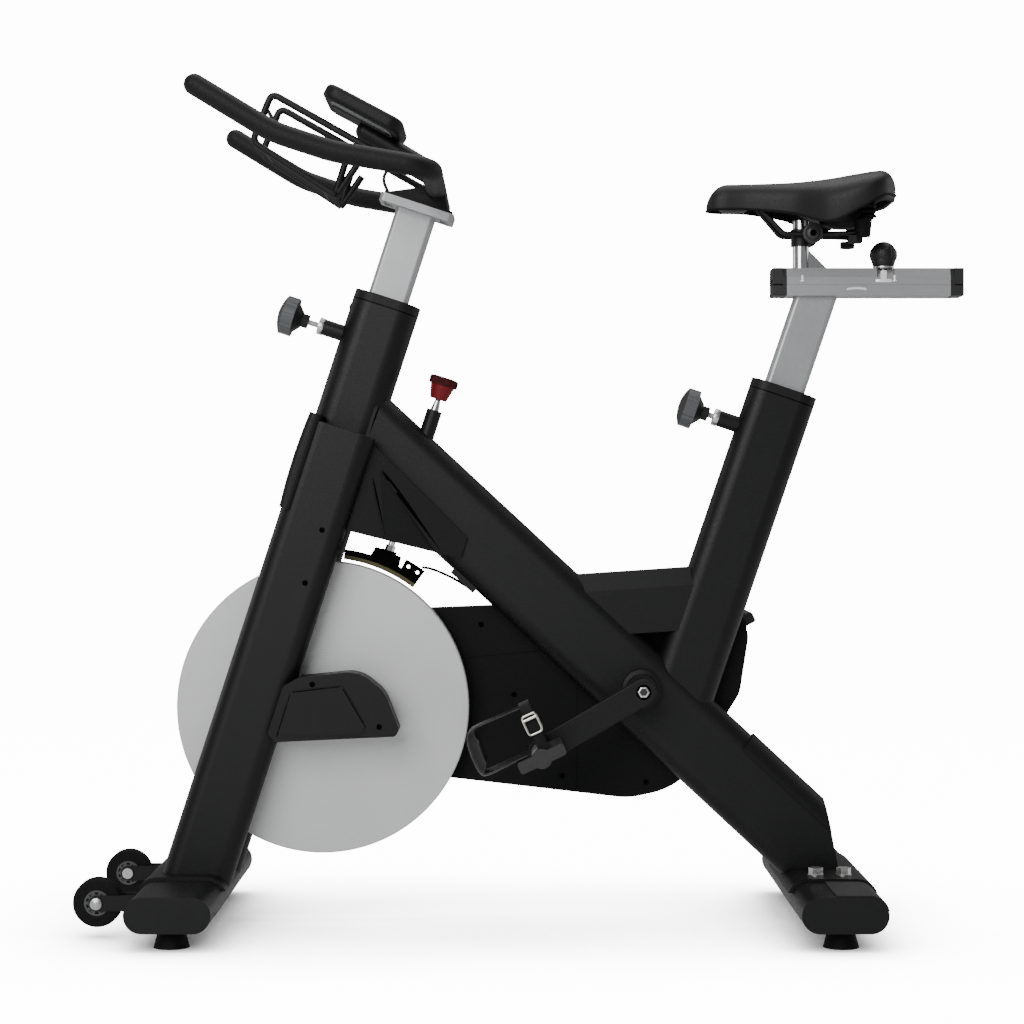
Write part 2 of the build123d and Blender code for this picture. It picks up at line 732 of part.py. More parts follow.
def main_tube():
    sleeve_low = brake_plane(BRAKE_TOP_Z - MAIN_DEPTH)
    sleeve = extrude(sleeve_low * Circle(BRAKE_SLEEVE_R), amount=along(BRAKE_LEAN, MAIN_DEPTH))
    hollow = split(main_prism(-WALL), bisect_by=main_end_plane(WALL), keep=Keep.BOTTOM)
    tube = split(main_prism(0), bisect_by=main_end_plane(0), keep=Keep.BOTTOM)
    tube = tube + sleeve + spring_seat() - hollow
    tube -= head_envelope(0)
    tube -= stab_prism(REAR_STAB_X, FIT_GAP + PLATE_THICK, STAB_LENGTH)
    tube = split(tube, bisect_by=Plane(origin=(0, 0, PLATE_TOP_Z - PLATE_DROP)), keep=Keep.TOP)
    tube -= rod(CRANK_X, CRANK_Z, BRACKET_R, -MAIN_WIDTH, MAIN_WIDTH)
    bore_length = along(BRAKE_LEAN, 4 * MAIN_DEPTH)
    tube -= extrude(
        brake_plane(BRAKE_TOP_Z - 3 * MAIN_DEPTH) * Circle(BRAKE_STEM_LOW_R + RUN_GAP), amount=bore_length
    )
    return tube


def seat_tube():
    low = CRANK_Z - SEAT_DEPTH / 2
    length = along(SEAT_LEAN, SEAT_TOP_Z - low)
    pin = pin_plane(seat_plane(REAR_PIN_Z))
    tube = oval_prism(seat_plane(low), SEAT_DEPTH, SEAT_WIDTH, 0, length) + pin_barrel(pin, SEAT_DEPTH)
    tube -= oval_prism(seat_plane(low), SEAT_DEPTH, SEAT_WIDTH, -WALL, length)
    tube -= pin_bore(pin, SEAT_DEPTH)
    tube -= main_prism(0)
    return max(tube.solids(), key=lambda solid: solid.center().Z)


def post_bush(plane, depth, width):
    """Plastic sleeve pushed into a tube, with a collar that sits on the tube's end."""
    collar = oval_prism(plane, depth, width, 0, BUSH_COLLAR)
    sleeve = oval_prism(plane, depth, width, -WALL - FIT_GAP, -BUSH_DEPTH)
    opening = post_prism(plane.offset(-2 * BUSH_DEPTH), RUN_GAP, 2 * BUSH_DEPTH + 2 * BUSH_COLLAR)
    return collar + sleeve - opening


def post_bushes():
    return group(
        post_bush(head_plane(HEAD_TOP_Z), HEAD_DEPTH, HEAD_WIDTH),
        post_bush(seat_plane(SEAT_TOP_Z), SEAT_DEPTH, SEAT_WIDTH),
    )


def post_holes(post_plane, first, last):
    """Row of pin holes up a post's front face, one of them at the pin."""
    holes = []
    for step in range(first, last + 1):
        spot = pin_plane(post_plane.offset(step * POST_HOLE_PITCH))
        holes.append(disc(spot, POST_HOLE_R, POST_DEPTH / 2 - POST_HOLE_DEPTH, 2 * POST_HOLE_DEPTH))
    return holes


def handlebar_post():
    length = along(HEAD_LEAN, BAR_PLATE_Z - BAR_POST_LOW_Z)
    post = post_prism(head_plane(BAR_POST_LOW_Z), 0, length)
    post -= post_prism(head_plane(BAR_POST_LOW_Z), -WALL, length - BAR_PLATE_THICK)
    for hole in post_holes(head_plane(FRONT_PIN_Z), -POST_HOLES // 2, POST_HOLES // 2):
        post -= hole
    plate_section = RectangleRounded(BAR_PLATE_LENGTH, BAR_PLATE_WIDTH, POST_ROUND)
    plate = extrude(head_plane(BAR_PLATE_Z) * plate_section, amount=BAR_PLATE_THICK / 2, both=True)
    step_out = (BAR_PLATE_LENGTH + POST_DEPTH) / 4
    for side in (-1, 1):
        relief = Pos(side * step_out, 0, -BAR_PLATE_THICK / 2) * Box(
            (BAR_PLATE_LENGTH - POST_DEPTH) / 4, BAR_PLATE_WIDTH - 2 * POST_ROUND, BAR_PLATE_THICK / 2
        )
        plate -= head_plane(BAR_PLATE_Z) * relief
    return post + plate


def seat_post():
    length = along(SEAT_LEAN, RAIL_Z + POST_DEPTH - SEAT_POST_LOW_Z)
    post = post_prism(seat_plane(SEAT_POST_LOW_Z), 0, length)
    post -= post_prism(seat_plane(SEAT_POST_LOW_Z), -WALL, length)
    for hole in post_holes(seat_plane(REAR_PIN_Z), -POST_HOLES // 2, POST_HOLES // 2):
        post -= hole
    return split(post, bisect_by=Plane(origin=(0, 0, RAIL_Z)), keep=Keep.BOTTOM)


def pop_pin(post_plane, reach):
    """Spring pin: shaft, hex collar, coned back and a domed knob with a shallow scalloped rim."""
    pin = pin_plane(post_plane)
    tip = POST_DEPTH / 2 + PIN_TIP_GAP
    knob_at = reach - PIN_KNOB_THICK / 2
    cone_at = knob_at - PIN_CONE
    shaft = disc(pin, PIN_R, tip, knob_at - tip)
    collar = extrude(pin.offset(cone_at - PIN_NUT) * hexagon(PIN_NUT_HEX), amount=PIN_NUT)
    cone_r = PIN_KNOB_R * PIN_CONE_SHARE
    back = loft([pin.offset(cone_at) * Circle(PIN_BARREL_R), pin.offset(knob_at) * Circle(cone_r)])
    face = Circle(PIN_KNOB_R)
    for lobe in range(PIN_KNOB_LOBES):
        turn = Rot(0, 0, lobe * 360 / PIN_KNOB_LOBES)
        face -= turn * Pos(PIN_KNOB_R + PIN_SCALLOP_R - PIN_SCALLOP_DEPTH, 0) * Circle(PIN_SCALLOP_R)
    height = PIN_KNOB_THICK + PIN_KNOB_DOME
    dome_r = (PIN_KNOB_R * PIN_KNOB_R + PIN_KNOB_DOME * PIN_KNOB_DOME) / (2 * PIN_KNOB_DOME)
    knob = extrude(pin.offset(knob_at) * face, amount=height)
    return shaft + collar + back + (knob & pin.offset(knob_at + height - dome_r) * Sphere(dome_r))


def polygon(points):
    return make_face(Polyline(*points, close=True))


def crotch_brace():
    """Welded box in the crook of main tube and seat tube, with a bevelled cap along its top."""
    half = BRACE_WIDTH / 2
    seam_z = BRACE_TOP_Z - BRACE_CAP
    right = [(half, BRACE_LOW_Z), (half, seam_z), (half - BRACE_CAP_CHAMFER, BRACE_TOP_Z)]
    left = [(-y, z) for y, z in reversed(right)]
    box = extrude(Plane.YZ * polygon(right + left), amount=2 * CRANK_X)
    tilt = Pos(CRANK_X, 0, BRACE_TOP_Z) * Rot(0, -BRACE_TILT, 0) * Pos(-CRANK_X, 0, -BRACE_TOP_Z)
    main = main_prism(0)
    seat_low = CRANK_Z - SEAT_DEPTH / 2
    seat_length = along(SEAT_LEAN, SEAT_TOP_Z - seat_low)
    seat = oval_prism(seat_plane(seat_low), SEAT_DEPTH, SEAT_WIDTH, 0, seat_length)
    pieces = []
    for keep in (Keep.TOP, Keep.BOTTOM):
        piece = tilt * split(box, bisect_by=Plane(origin=(0, 0, seam_z)), keep=keep)
        pieces.append(crook_piece(piece - main - seat))
    return group(*pieces)


def crook_piece(shape):
    """Of what the two tubes leave, the piece in the crook above the main tube and before the seat tube."""
    middle = Vector(BRACE_MID[0], 0, BRACE_MID[1])
    return min(shape.solids(), key=lambda solid: (solid.center() - middle).length)


def fork_cover():
    """Bulging shield over the front of the fork, across both legs and the head tube between them."""
    sections = []
    heights = (FORK_COVER_LOW_Z, FORK_COVER_MID_Z, FORK_COVER_TOP_Z)
    prouds = (FORK_COVER_PROUD, FORK_COVER_BULGE, FORK_COVER_PROUD)
    for height, proud in zip(heights, prouds):
        depth = FORK_COVER_WRAP + proud
        center = -HEAD_DEPTH / 2 - proud + depth / 2
        section = Pos(center, 0) * RectangleRounded(depth, 2 * FORK_COVER_HALF, FORK_COVER_WRAP / 2)
        sections.append(head_plane(height) * section)
    cover = loft(sections) - head_envelope(FIT_GAP)
    for side in (-1, 1):
        cover -= leg_bar(side, FIT_GAP)
    return max(cover.solids(), key=lambda solid: solid.volume)


def brake_cover_half_width(x):
    """Half width of the brake cover, wide at the legs and narrow on the main tube."""
    front_x = BRAKE_COVER_OUTLINE[-1][0]
    rear_x = BRAKE_COVER_OUTLINE[1][0]
    share = (x - front_x) / (rear_x - front_x)
    return BRAKE_COVER_FRONT_HALF + share * (BRAKE_COVER_REAR_HALF - BRAKE_COVER_FRONT_HALF)


def brake_cover_wedge(inset):
    """Everything on the left within the cover's tapering half width."""
    front_x = BRAKE_COVER_OUTLINE[-1][0] - LEG_DEPTH
    rear_x = BRAKE_COVER_OUTLINE[1][0] + LEG_DEPTH / 2
    plan = polygon(
        [
            (front_x, 0),
            (front_x, inset - brake_cover_half_width(front_x)),
            (rear_x, inset - brake_cover_half_width(rear_x)),
            (rear_x, 0),
        ]
    )
    return extrude(plan, amount=2 * HEAD_TOP_Z)


def solid_from_corners(base, tip):
    """Pyramid on a triangle."""
    corners = [Vector(*point) for point in base]
    top = Vector(*tip)
    faces = [Face(Wire.make_polygon(corners))]
    for index in range(len(corners)):
        faces.append(Face(Wire.make_polygon([corners[index - 1], corners[index], top])))
    return Solid(Shell(faces))


def flute_cut(inset):
    """Tapering flute: nothing at its top, deepest along its rear edge at the cover's foot."""

    def on_skin(spot, depth):
        return (spot[0], inset + depth - brake_cover_half_width(spot[0]), spot[1])

    base = [on_skin(FLUTE_LOW_FRONT, 0), on_skin(FLUTE_LOW_REAR, 0), on_skin(FLUTE_LOW_REAR, FLUTE_DEPTH)]
    return solid_from_corners(base, on_skin(FLUTE_TOP, 0))


def brake_cover_left():
    outline = polygon(BRAKE_COVER_OUTLINE)
    reach = BRAKE_COVER_FRONT_HALF + LEG_DEPTH
    skin = slab(outline, -reach, 0) & brake_cover_wedge(0)
    skin -= flute_cut(0)
    line = slab(trace(Line(*FLUTE_LINE), SEAM_WIDTH), -reach, 0)
    skin -= (line & brake_cover_wedge(0)) - brake_cover_wedge(SEAM_DEPTH)
    inner_outline = offset(outline, amount=-COVER_WALL)
    cavity = slab(inner_outline + Pos(0, -LEG_WIDTH) * inner_outline, -reach, COVER_WALL)
    cavity = cavity & (brake_cover_wedge(COVER_WALL) + slab(outline, -COVER_WALL, COVER_WALL))
    cavity -= flute_cut(COVER_WALL)
    half = skin - cavity - main_prism(FIT_GAP) - leg_bar(-1, FIT_GAP) - head_envelope(FIT_GAP)
    return max(half.solids(), key=lambda solid: solid.volume)


def brake_cover():
    left = brake_cover_left()
    return group(left, mirrored(left))


def rounded_corners(outline, points, radius):
    """Rounds the corners of an outline that lie at given points."""
    corners = [outline.vertices().sort_by_distance(Vector(*point))[0] for point in points]
    return fillet(corners, radius)


def axle_cover():
    """Moulded cover over the left end of the flywheel axle, with a raised panel."""
    shoulder = AXLE_COVER_OUTLINE[1:3]
    others = [point for point in AXLE_COVER_OUTLINE if point not in shoulder]
    outline = rounded_corners(polygon(AXLE_COVER_OUTLINE), others, AXLE_COVER_CORNER)
    outline = rounded_corners(outline, shoulder, AXLE_COVER_SHOULDER)
    panel = fillet(polygon(AXLE_COVER_PANEL_OUTLINE).vertices(), AXLE_COVER_PANEL_ROUND)
    face_y = AXLE_COVER_OUTER_Y - AXLE_COVER_PANEL
    cover = slab(outline, -face_y, -AXLE_COVER_INNER_Y)
    cover += slab(panel, -AXLE_COVER_OUTER_Y, -face_y + COVER_WALL / 2)
    cover -= slab(offset(outline, amount=-COVER_WALL), -face_y + COVER_WALL, 0)
    return cover - leg_bar(-1, FIT_GAP)


def leg_rear_x(height):
    lean = radians(HEAD_LEAN)
    return HEAD_FOOT_X + height * tan(lean) + LEG_DEPTH / 2 / cos(lean) + GUARD_LEG_GAP


def guard_outline():
    points = [
        (leg_rear_x(GUARD_TOP_Z), GUARD_TOP_Z),
        GUARD_TOP_REAR,
        GUARD_REAR_HIGH,
        GUARD_REAR_LOW,
        GUARD_HEEL,
        GUARD_HEEL_FRONT,
        (leg_rear_x(GUARD_LOW_Z), GUARD_LOW_Z),
    ]
    rear = (GUARD_TOP_REAR, GUARD_REAR_HIGH, GUARD_REAR_LOW)
    outline = rounded_corners(polygon(points), rear, GUARD_CORNER)
    return rounded_corners(outline, (GUARD_HEEL, GUARD_HEEL_FRONT), GUARD_HEEL_R)


def guard_openings():
    """Room for crank axle, pulley hub and the right leg's axle plate."""
    crank_hole = rod(CRANK_X, CRANK_Z, CRANK_AXLE_R + GUARD_HOLE_GAP, 0, 2 * GUARD_OUTER_Y)
    hub_hole = rod(FLYWHEEL_X, FLYWHEEL_Z, FLYWHEEL_HUB_R + GUARD_HOLE_GAP, 0, GUARD_SPLIT_Y)
    room = 2 * GUARD_LEG_GAP
    leg_x = leg_rear_x(FLYWHEEL_Z)
    slot_height = 2 * (AXLE_PLATE_RISE + room)
    slot_sketch = Pos(leg_x, FLYWHEEL_Z) * Rectangle(4 * COVER_WALL + AXLE_PLATE_R, slot_height)
    plate_slot = slab(slot_sketch, LEG_Y - AXLE_PLATE / 2 - room, LEG_Y + AXLE_PLATE / 2 + room)
    return crank_hole, hub_hole, plate_slot


def belt_guard_inner():
    outline = guard_outline()
    shell = slab(outline, GUARD_INNER_Y, GUARD_SPLIT_Y)
    shell -= slab(offset(outline, amount=-COVER_WALL), GUARD_INNER_Y + COVER_WALL, GUARD_SPLIT_Y)
    seam = trace(Polyline(*GUARD_SEAM), SEAM_WIDTH)
    shell -= slab(seam, GUARD_INNER_Y - SEAM_DEPTH, GUARD_INNER_Y + SEAM_DEPTH)
    for opening in guard_openings():
        shell -= opening
    return shell


def belt_guard_outer():
    outline = guard_outline()
    shell = slab(outline, GUARD_SPLIT_Y, GUARD_OUTER_Y)
    shell = fillet(shell.faces().sort_by(Axis.Y)[-1].edges(), GUARD_EDGE)
    shell -= slab(offset(outline, amount=-COVER_WALL), GUARD_SPLIT_Y, GUARD_OUTER_Y - GUARD_EDGE)
    inner = offset(outline, amount=-COVER_WALL - GUARD_EDGE)
    shell -= slab(inner, GUARD_SPLIT_Y, GUARD_OUTER_Y - COVER_WALL)
    for opening in guard_openings():
        shell -= opening
    return shell


def belt_loop(grow):
    """Outline round both pulleys: two circles and the band between their outer tangents."""
    drive = Vector(CRANK_X, CRANK_Z)
    driven = Vector(FLYWHEEL_X, FLYWHEEL_Z)
    line = driven - drive
    heading = atan2(line.Y, line.X)
    spread = pi / 2 - asin((DRIVE_PULLEY_R - DRIVEN_PULLEY_R) / line.length)
    corners = []
    for center, radius, sides in ((drive, DRIVE_PULLEY_R, (1, -1)), (driven, DRIVEN_PULLEY_R, (-1, 1))):
        for side in sides:
            turn = heading + side * spread
            corners.append(center + Vector(cos(turn), sin(turn)) * (radius + grow))
    loop = polygon([(corner.X, corner.Y) for corner in corners])
    loop += Pos(CRANK_X, CRANK_Z) * Circle(DRIVE_PULLEY_R + grow)
    return loop + Pos(FLYWHEEL_X, FLYWHEEL_Z) * Circle(DRIVEN_PULLEY_R + grow)


def drive_belt():
    band = belt_loop(RUN_GAP + BELT_THICK) - belt_loop(RUN_GAP)
    return slab(band, BELT_Y - BELT_WIDTH / 2, BELT_Y + BELT_WIDTH / 2)


def rear_tube_guard():
    """Plastic cap over the main tube's top at its rear end."""
    skin = main_prism(FIT_GAP + TUBE_GUARD_THICK) - main_prism(FIT_GAP)
    start = main_plane(TUBE_GUARD_FROM_CRANK)
    low = MAIN_DEPTH / 2 - TUBE_GUARD_WRAP
    room_at = start * Pos(low + MAIN_DEPTH / 2, 0, MAIN_DEPTH)
    room = room_at * Box(MAIN_DEPTH, 2 * MAIN_WIDTH, 2 * MAIN_DEPTH)
    skin = split(skin & room, bisect_by=main_end_plane(0), keep=Keep.BOTTOM)
    return max(skin.solids(), key=lambda solid: solid.volume)


def flywheel():
    """Turned disc, flat on the left and hollowed on the right, with the driven pulley on its hub."""
    half = FLYWHEEL_RIM / 2
    wheel = rod(FLYWHEEL_X, FLYWHEEL_Z, FLYWHEEL_R, -half, half)
    wheel = chamfer(wheel.edges().filter_by(GeomType.CIRCLE), FLYWHEEL_EDGE)
    hollow = Circle(FLYWHEEL_RIM_INNER_R) - Circle(2 * FLYWHEEL_HUB_R)
    wheel -= slab(Pos(FLYWHEEL_X, FLYWHEEL_Z) * hollow, -half + FLYWHEEL_WEB, half)
    wheel += rod(FLYWHEEL_X, FLYWHEEL_Z, FLYWHEEL_HUB_R, -FLYWHEEL_HUB_Y, FLYWHEEL_HUB_Y)
    pulley_half = PULLEY_WIDTH / 2
    pulley = rod(FLYWHEEL_X, FLYWHEEL_Z, DRIVEN_PULLEY_R, BELT_Y - pulley_half, BELT_Y + pulley_half)
    pulley += rod(FLYWHEEL_X, FLYWHEEL_Z, FLYWHEEL_HUB_R, FLYWHEEL_HUB_Y, BELT_Y)
    bore = rod(FLYWHEEL_X, FLYWHEEL_Z, AXLE_R + RUN_GAP, -GUARD_OUTER_Y, GUARD_OUTER_Y)
    return group(wheel - bore, pulley - bore)


def flywheel_axle():
    """Fixed axle with its spacers and end nuts."""
    plate_in = LEG_Y - AXLE_PLATE / 2
    plate_out = LEG_Y + AXLE_PLATE / 2
    axle = rod(FLYWHEEL_X, FLYWHEEL_Z, AXLE_R, -AXLE_HALF, AXLE_HALF)
    spacer_r = AXLE_R + AXLE_SPACER
    axle += rod(FLYWHEEL_X, FLYWHEEL_Z, spacer_r, -plate_in, -FLYWHEEL_HUB_Y - RUN_GAP)
    axle += rod(FLYWHEEL_X, FLYWHEEL_Z, spacer_r, BELT_Y + PULLEY_WIDTH / 2 + RUN_GAP, plate_in)
    nut = Pos(FLYWHEEL_X, FLYWHEEL_Z) * hexagon(3 * AXLE_R)
    return axle + slab(nut, -AXLE_HALF + AXLE_END, -plate_out) + slab(nut, plate_out, AXLE_HALF - AXLE_END)


def bottom_bracket():
    """Shell welded through the main tube, with a bearing in each end."""
    shell = rod(CRANK_X, CRANK_Z, BRACKET_R, -BRACKET_LEFT_Y, BRACKET_RIGHT_Y)
    shell -= rod(CRANK_X, CRANK_Z, BEARING_R + FIT_GAP, -BRACKET_LEFT_Y, BRACKET_RIGHT_Y)
    ring = Pos(CRANK_X, CRANK_Z) * (Circle(BEARING_R) - Circle(CRANK_AXLE_R + RUN_GAP))
    left_end = -BRACKET_LEFT_Y + BEARING_SINK
    right_end = BRACKET_RIGHT_Y - BEARING_SINK
    left = slab(ring, left_end, left_end + BEARING_WIDTH)
    right = slab(ring, right_end - BEARING_WIDTH, right_end)
    return group(shell, left, right)


def crank_axle():
    """Axle with the hex bolt heads that hold the cranks."""
    reach = CRANK_INNER_Y + CRANK_THICK - CRANK_BOLT_SINK - FIT_GAP
    bolt = Pos(CRANK_X, CRANK_Z) * hexagon(CRANK_BOLT_HEX)
    axle = rod(CRANK_X, CRANK_Z, CRANK_AXLE_R, -reach, reach)
    head = CRANK_BOLT_SINK - CRANK_BOLT_BELOW
    return axle + slab(bolt, -reach - head, -reach) + slab(bolt, reach, reach + head)


def pedal_axis(side):
    turn = radians(CRANK_BELOW_LEVEL)
    return (CRANK_X + side * CRANK_LENGTH * cos(turn), CRANK_Z + side * CRANK_LENGTH * sin(turn))


def crank(side):
    """Flat crank arm with its pedal spindle; side -1 is the rider's left."""
    outer = CRANK_INNER_Y + CRANK_THICK
    x, z = pedal_axis(side)
    middle = Pos((CRANK_X + x) / 2, (CRANK_Z + z) / 2)
    outline = middle * Rot(0, 0, CRANK_BELOW_LEVEL) * SlotCenterToCenter(CRANK_LENGTH, CRANK_WIDTH)
    arm = slab(outline, -outer, -CRANK_INNER_Y)
    arm = fillet(arm.faces().sort_by(Axis.Y)[0].edges(), CRANK_EDGE)
    arm -= rod(CRANK_X, CRANK_Z, CRANK_AXLE_R + FIT_GAP, -outer, 0)
    arm -= rod(CRANK_X, CRANK_Z, CRANK_BOLT_R, -outer, -outer + CRANK_BOLT_SINK)
    flange_end = -outer - PEDAL_GAP + SPINDLE_FLANGE_GAP
    arm += rod(x, z, SPINDLE_R + SPINDLE_FLANGE, flange_end, -outer + CRANK_THICK / 2)
    arm += rod(x, z, SPINDLE_R, -outer - PEDAL_GAP - PEDAL_WIDTH + PEDAL_RAIL, -outer)
    if side > 0:
        arm = mirrored(arm)
    return arm


def drive_pulley():
    pulley = rod(CRANK_X, CRANK_Z, DRIVE_PULLEY_R, BELT_Y - PULLEY_WIDTH / 2, BELT_Y + PULLEY_WIDTH / 2)
    ring = Circle(DRIVE_PULLEY_R - PULLEY_WIDTH / 2) - Circle(2 * BRACKET_R)
    web_half = PULLEY_WIDTH / 4
    recess = Pos(CRANK_X, CRANK_Z) * ring
    pulley -= slab(recess, BELT_Y - PULLEY_WIDTH / 2, BELT_Y - web_half)
    pulley -= slab(recess, BELT_Y + web_half, BELT_Y + PULLEY_WIDTH / 2)
    return pulley - rod(CRANK_X, CRANK_Z, CRANK_AXLE_R + FIT_GAP, 0, GUARD_OUTER_Y)


def pedal_body():
    """Pedal about its own axis, level, on the rider's left: rails, treads and spindle barrel."""
    inner = CRANK_INNER_Y + CRANK_THICK + PEDAL_GAP
    outer = inner + PEDAL_WIDTH
    body = slab(RectangleRounded(PEDAL_LENGTH, PEDAL_HEIGHT, PEDAL_HEIGHT / 4), -outer, -inner)
    gap = PEDAL_LENGTH / 2 - PEDAL_RAIL - PEDAL_BARREL_R
    for side in (-1, 1):
        window = Pos(side * (PEDAL_BARREL_R + gap / 2), -(inner + outer) / 2, 0)
        body -= window * Box(gap, PEDAL_WIDTH - 2 * PEDAL_RAIL, 2 * PEDAL_HEIGHT)
    body += rod(0, 0, PEDAL_BARREL_R, -outer, -inner)
    return body - rod(0, 0, SPINDLE_R + RUN_GAP, -outer + PEDAL_RAIL - RUN_GAP, -inner)


def toe_cage_body():
    """Front wall and top strip of the toe cage, and the strap that arches over the foot."""
    middle = -(CRANK_INNER_Y + CRANK_THICK + PEDAL_GAP + PEDAL_WIDTH / 2)
    base_z = PEDAL_HEIGHT / 2 + CAGE_THICK / 2
    front = -CAGE_REACH
    corners = [(-PEDAL_BARREL_R, base_z), (front, base_z), (front, CAGE_HEIGHT), (STRAP_X, CAGE_HEIGHT)]
    line = round_path(corners, [CAGE_ROUND / 2, CAGE_ROUND])
    sheet = slab(trace(line, CAGE_THICK), middle - CAGE_WIDTH / 2, middle + CAGE_WIDTH / 2)
    wing = polygon(
        [
            (front + CAGE_ROUND / 2, base_z),
            (front + CAGE_WING, base_z),
            (front + CAGE_WING, CAGE_HEIGHT - 2 * CAGE_ROUND),
            (front + CAGE_WING / 2, CAGE_HEIGHT - CAGE_ROUND),
            (front, CAGE_HEIGHT - CAGE_ROUND),
            (front, base_z + CAGE_ROUND / 2),
        ]
    )
    for side in (-1, 1):
        edges = sorted(middle + side * (CAGE_WIDTH / 2 - inset) for inset in (0, CAGE_THICK))
        sheet += slab(wing, *edges)
    for side in (-1, 1):
        trim = Pos(0, middle + side * (CAGE_STRIP + CAGE_WIDTH) / 2, CAGE_HEIGHT)
        sheet -= trim * Box(2 * (CAGE_REACH - CAGE_ROUND), CAGE_WIDTH, 2 * CAGE_ROUND)
    top = CAGE_HEIGHT + CAGE_THICK / 2 + FIT_GAP + STRAP_THICK / 2
    feet = [(-STRAP_HALF, 0), (-STRAP_HALF, top), (STRAP_HALF, top), (STRAP_HALF, 0)]
    arch = round_path(feet, [STRAP_ROUND, STRAP_ROUND])
    arch_plane = Plane(origin=(STRAP_X - STRAP_WIDTH / 2, middle, 0), x_dir=(0, 1, 0), z_dir=(1, 0, 0))
    strap = extrude(arch_plane * trace(arch, STRAP_THICK), amount=STRAP_WIDTH)
    strap -= slab(Rectangle(PEDAL_LENGTH, PEDAL_HEIGHT), 2 * middle, 0)
    strap -= rod(0, 0, PEDAL_BARREL_R + FIT_GAP, 2 * middle, 0)
    return group(sheet, strap)


def on_pedal(shape, side):
    """Tilts a pedal piece toe down and sets it on its crank."""
    x, z = pedal_axis(side)
    if side > 0:
        shape = mirrored(shape)
    return Pos(x, 0, z) * Rot(0, -PEDAL_TILT, 0) * shape


def arc_band(inner_r, outer_r, angle_from, angle_to):
    """Part of a ring about the flywheel's centre, between two angles above level."""
    reach = 2 * outer_r
    ends = [(reach * cos(radians(angle)), reach * sin(radians(angle))) for angle in (angle_from, angle_to)]
    wedge = polygon([(0, 0), *ends])
    return Pos(FLYWHEEL_X, FLYWHEEL_Z) * ((Circle(outer_r) - Circle(inner_r)) & wedge)


PAD_R = FLYWHEEL_R + PAD_GAP
SHOE_R = PAD_R + PAD_THICK
SHOE_OUTER_R = SHOE_R + SHOE_THICK


def felt_pad():
    return slab(arc_band(PAD_R, SHOE_R, SHOE_FROM, SHOE_TO), -SHOE_WIDTH / 2, SHOE_WIDTH / 2)


def brake_height_at(radius):
    """Height where the brake rod's axis is a given distance from the flywheel's centre."""
    lean = tan(radians(BRAKE_LEAN))
    ahead = BRAKE_TOP_X - BRAKE_TOP_Z * lean - FLYWHEEL_X
    a = 1 + lean * lean
    b = 2 * (ahead * lean - FLYWHEEL_Z)
    c = ahead * ahead + FLYWHEEL_Z * FLYWHEEL_Z - radius * radius
    return (-b + (b * b - 4 * a * c) ** 0.5) / (2 * a)


def shoe_boss_base():
    return brake_plane(brake_height_at((SHOE_R + SHOE_OUTER_R) / 2))


def brake_shoe():
    """Curved shoe holder with the boss for the rod and the ear for the leaf spring."""
    half = SHOE_WIDTH / 2
    shoe = slab(arc_band(SHOE_R, SHOE_OUTER_R, SHOE_FROM, SHOE_TO), -half, half)
    boss = RectangleRounded(SHOE_BOSS, SHOE_BOSS, SHOE_BOSS_ROUND)
    shoe += extrude(shoe_boss_base() * boss, amount=SHOE_BOSS_HEIGHT)
    ear_band = arc_band(SHOE_R, SHOE_OUTER_R + SHOE_EAR_RISE, SHOE_FROM, SHOE_FROM + SHOE_EAR_ARC)
    ear = slab(ear_band, -half, -half + SHOE_EAR_THICK)
    for share in SHOE_EAR_HOLES:
        turn = radians(SHOE_FROM + share * SHOE_EAR_ARC)
        reach = SHOE_OUTER_R + SHOE_EAR_RISE / 2
        spot_x = FLYWHEEL_X + reach * cos(turn)
        spot_z = FLYWHEEL_Z + reach * sin(turn)
        ear -= rod(spot_x, spot_z, SHOE_EAR_HOLE_R, -SHOE_WIDTH, SHOE_WIDTH)
    return shoe + ear


def brake_rod():
    """Plunger rod: lock nut on the shoe's boss, plain shank, tapered bright stem under the knob."""
    base = shoe_boss_base().offset(SHOE_BOSS_HEIGHT)
    top = brake_plane(BRAKE_TOP_Z)
    shank = (top.origin - base.origin).length
    part = extrude(base * hexagon(SHOE_NUT_HEX), amount=SHOE_NUT)
    part += extrude(base * Circle(BRAKE_ROD_R), amount=shank)
    stem = loft([top * Circle(BRAKE_STEM_LOW_R), top.offset(BRAKE_STEM) * Circle(BRAKE_STEM_TOP_R)])
    return part + stem


def resistance_knob():
    """Coned knob with a taller gripping band at its top."""
    base = brake_plane(BRAKE_TOP_Z).offset(BRAKE_STEM)
    cone_height = KNOB_HEIGHT - KNOB_BAND
    cone = loft([base * Circle(KNOB_LOW_R), base.offset(cone_height) * Circle(KNOB_TOP_R - KNOB_LIP)])
    band = extrude(base.offset(cone_height) * Circle(KNOB_TOP_R), amount=KNOB_BAND)
    band = fillet(band.edges(), KNOB_BAND / 5)
    return cone + band


def leaf_spring():
    """Thin strip from the seat under the main tube to the shoe's ear."""
    seat_end = -SPRING_SEAT_FROM_CRANK + SPRING_SEAT_LENGTH / 2
    under = -MAIN_DEPTH / 2 - SPRING_SEAT_THICK - SPRING_THICK / 2 - FIT_GAP
    knee = main_point(seat_end - SPRING_SEAT_LENGTH * SPRING_GRIP, under)
    line = round_path([SPRING_LEFT, knee, main_point(seat_end, under)], [SPRING_BEND_R])
    return slab(trace(line, SPRING_THICK), -SPRING_WIDTH / 2, SPRING_WIDTH / 2)


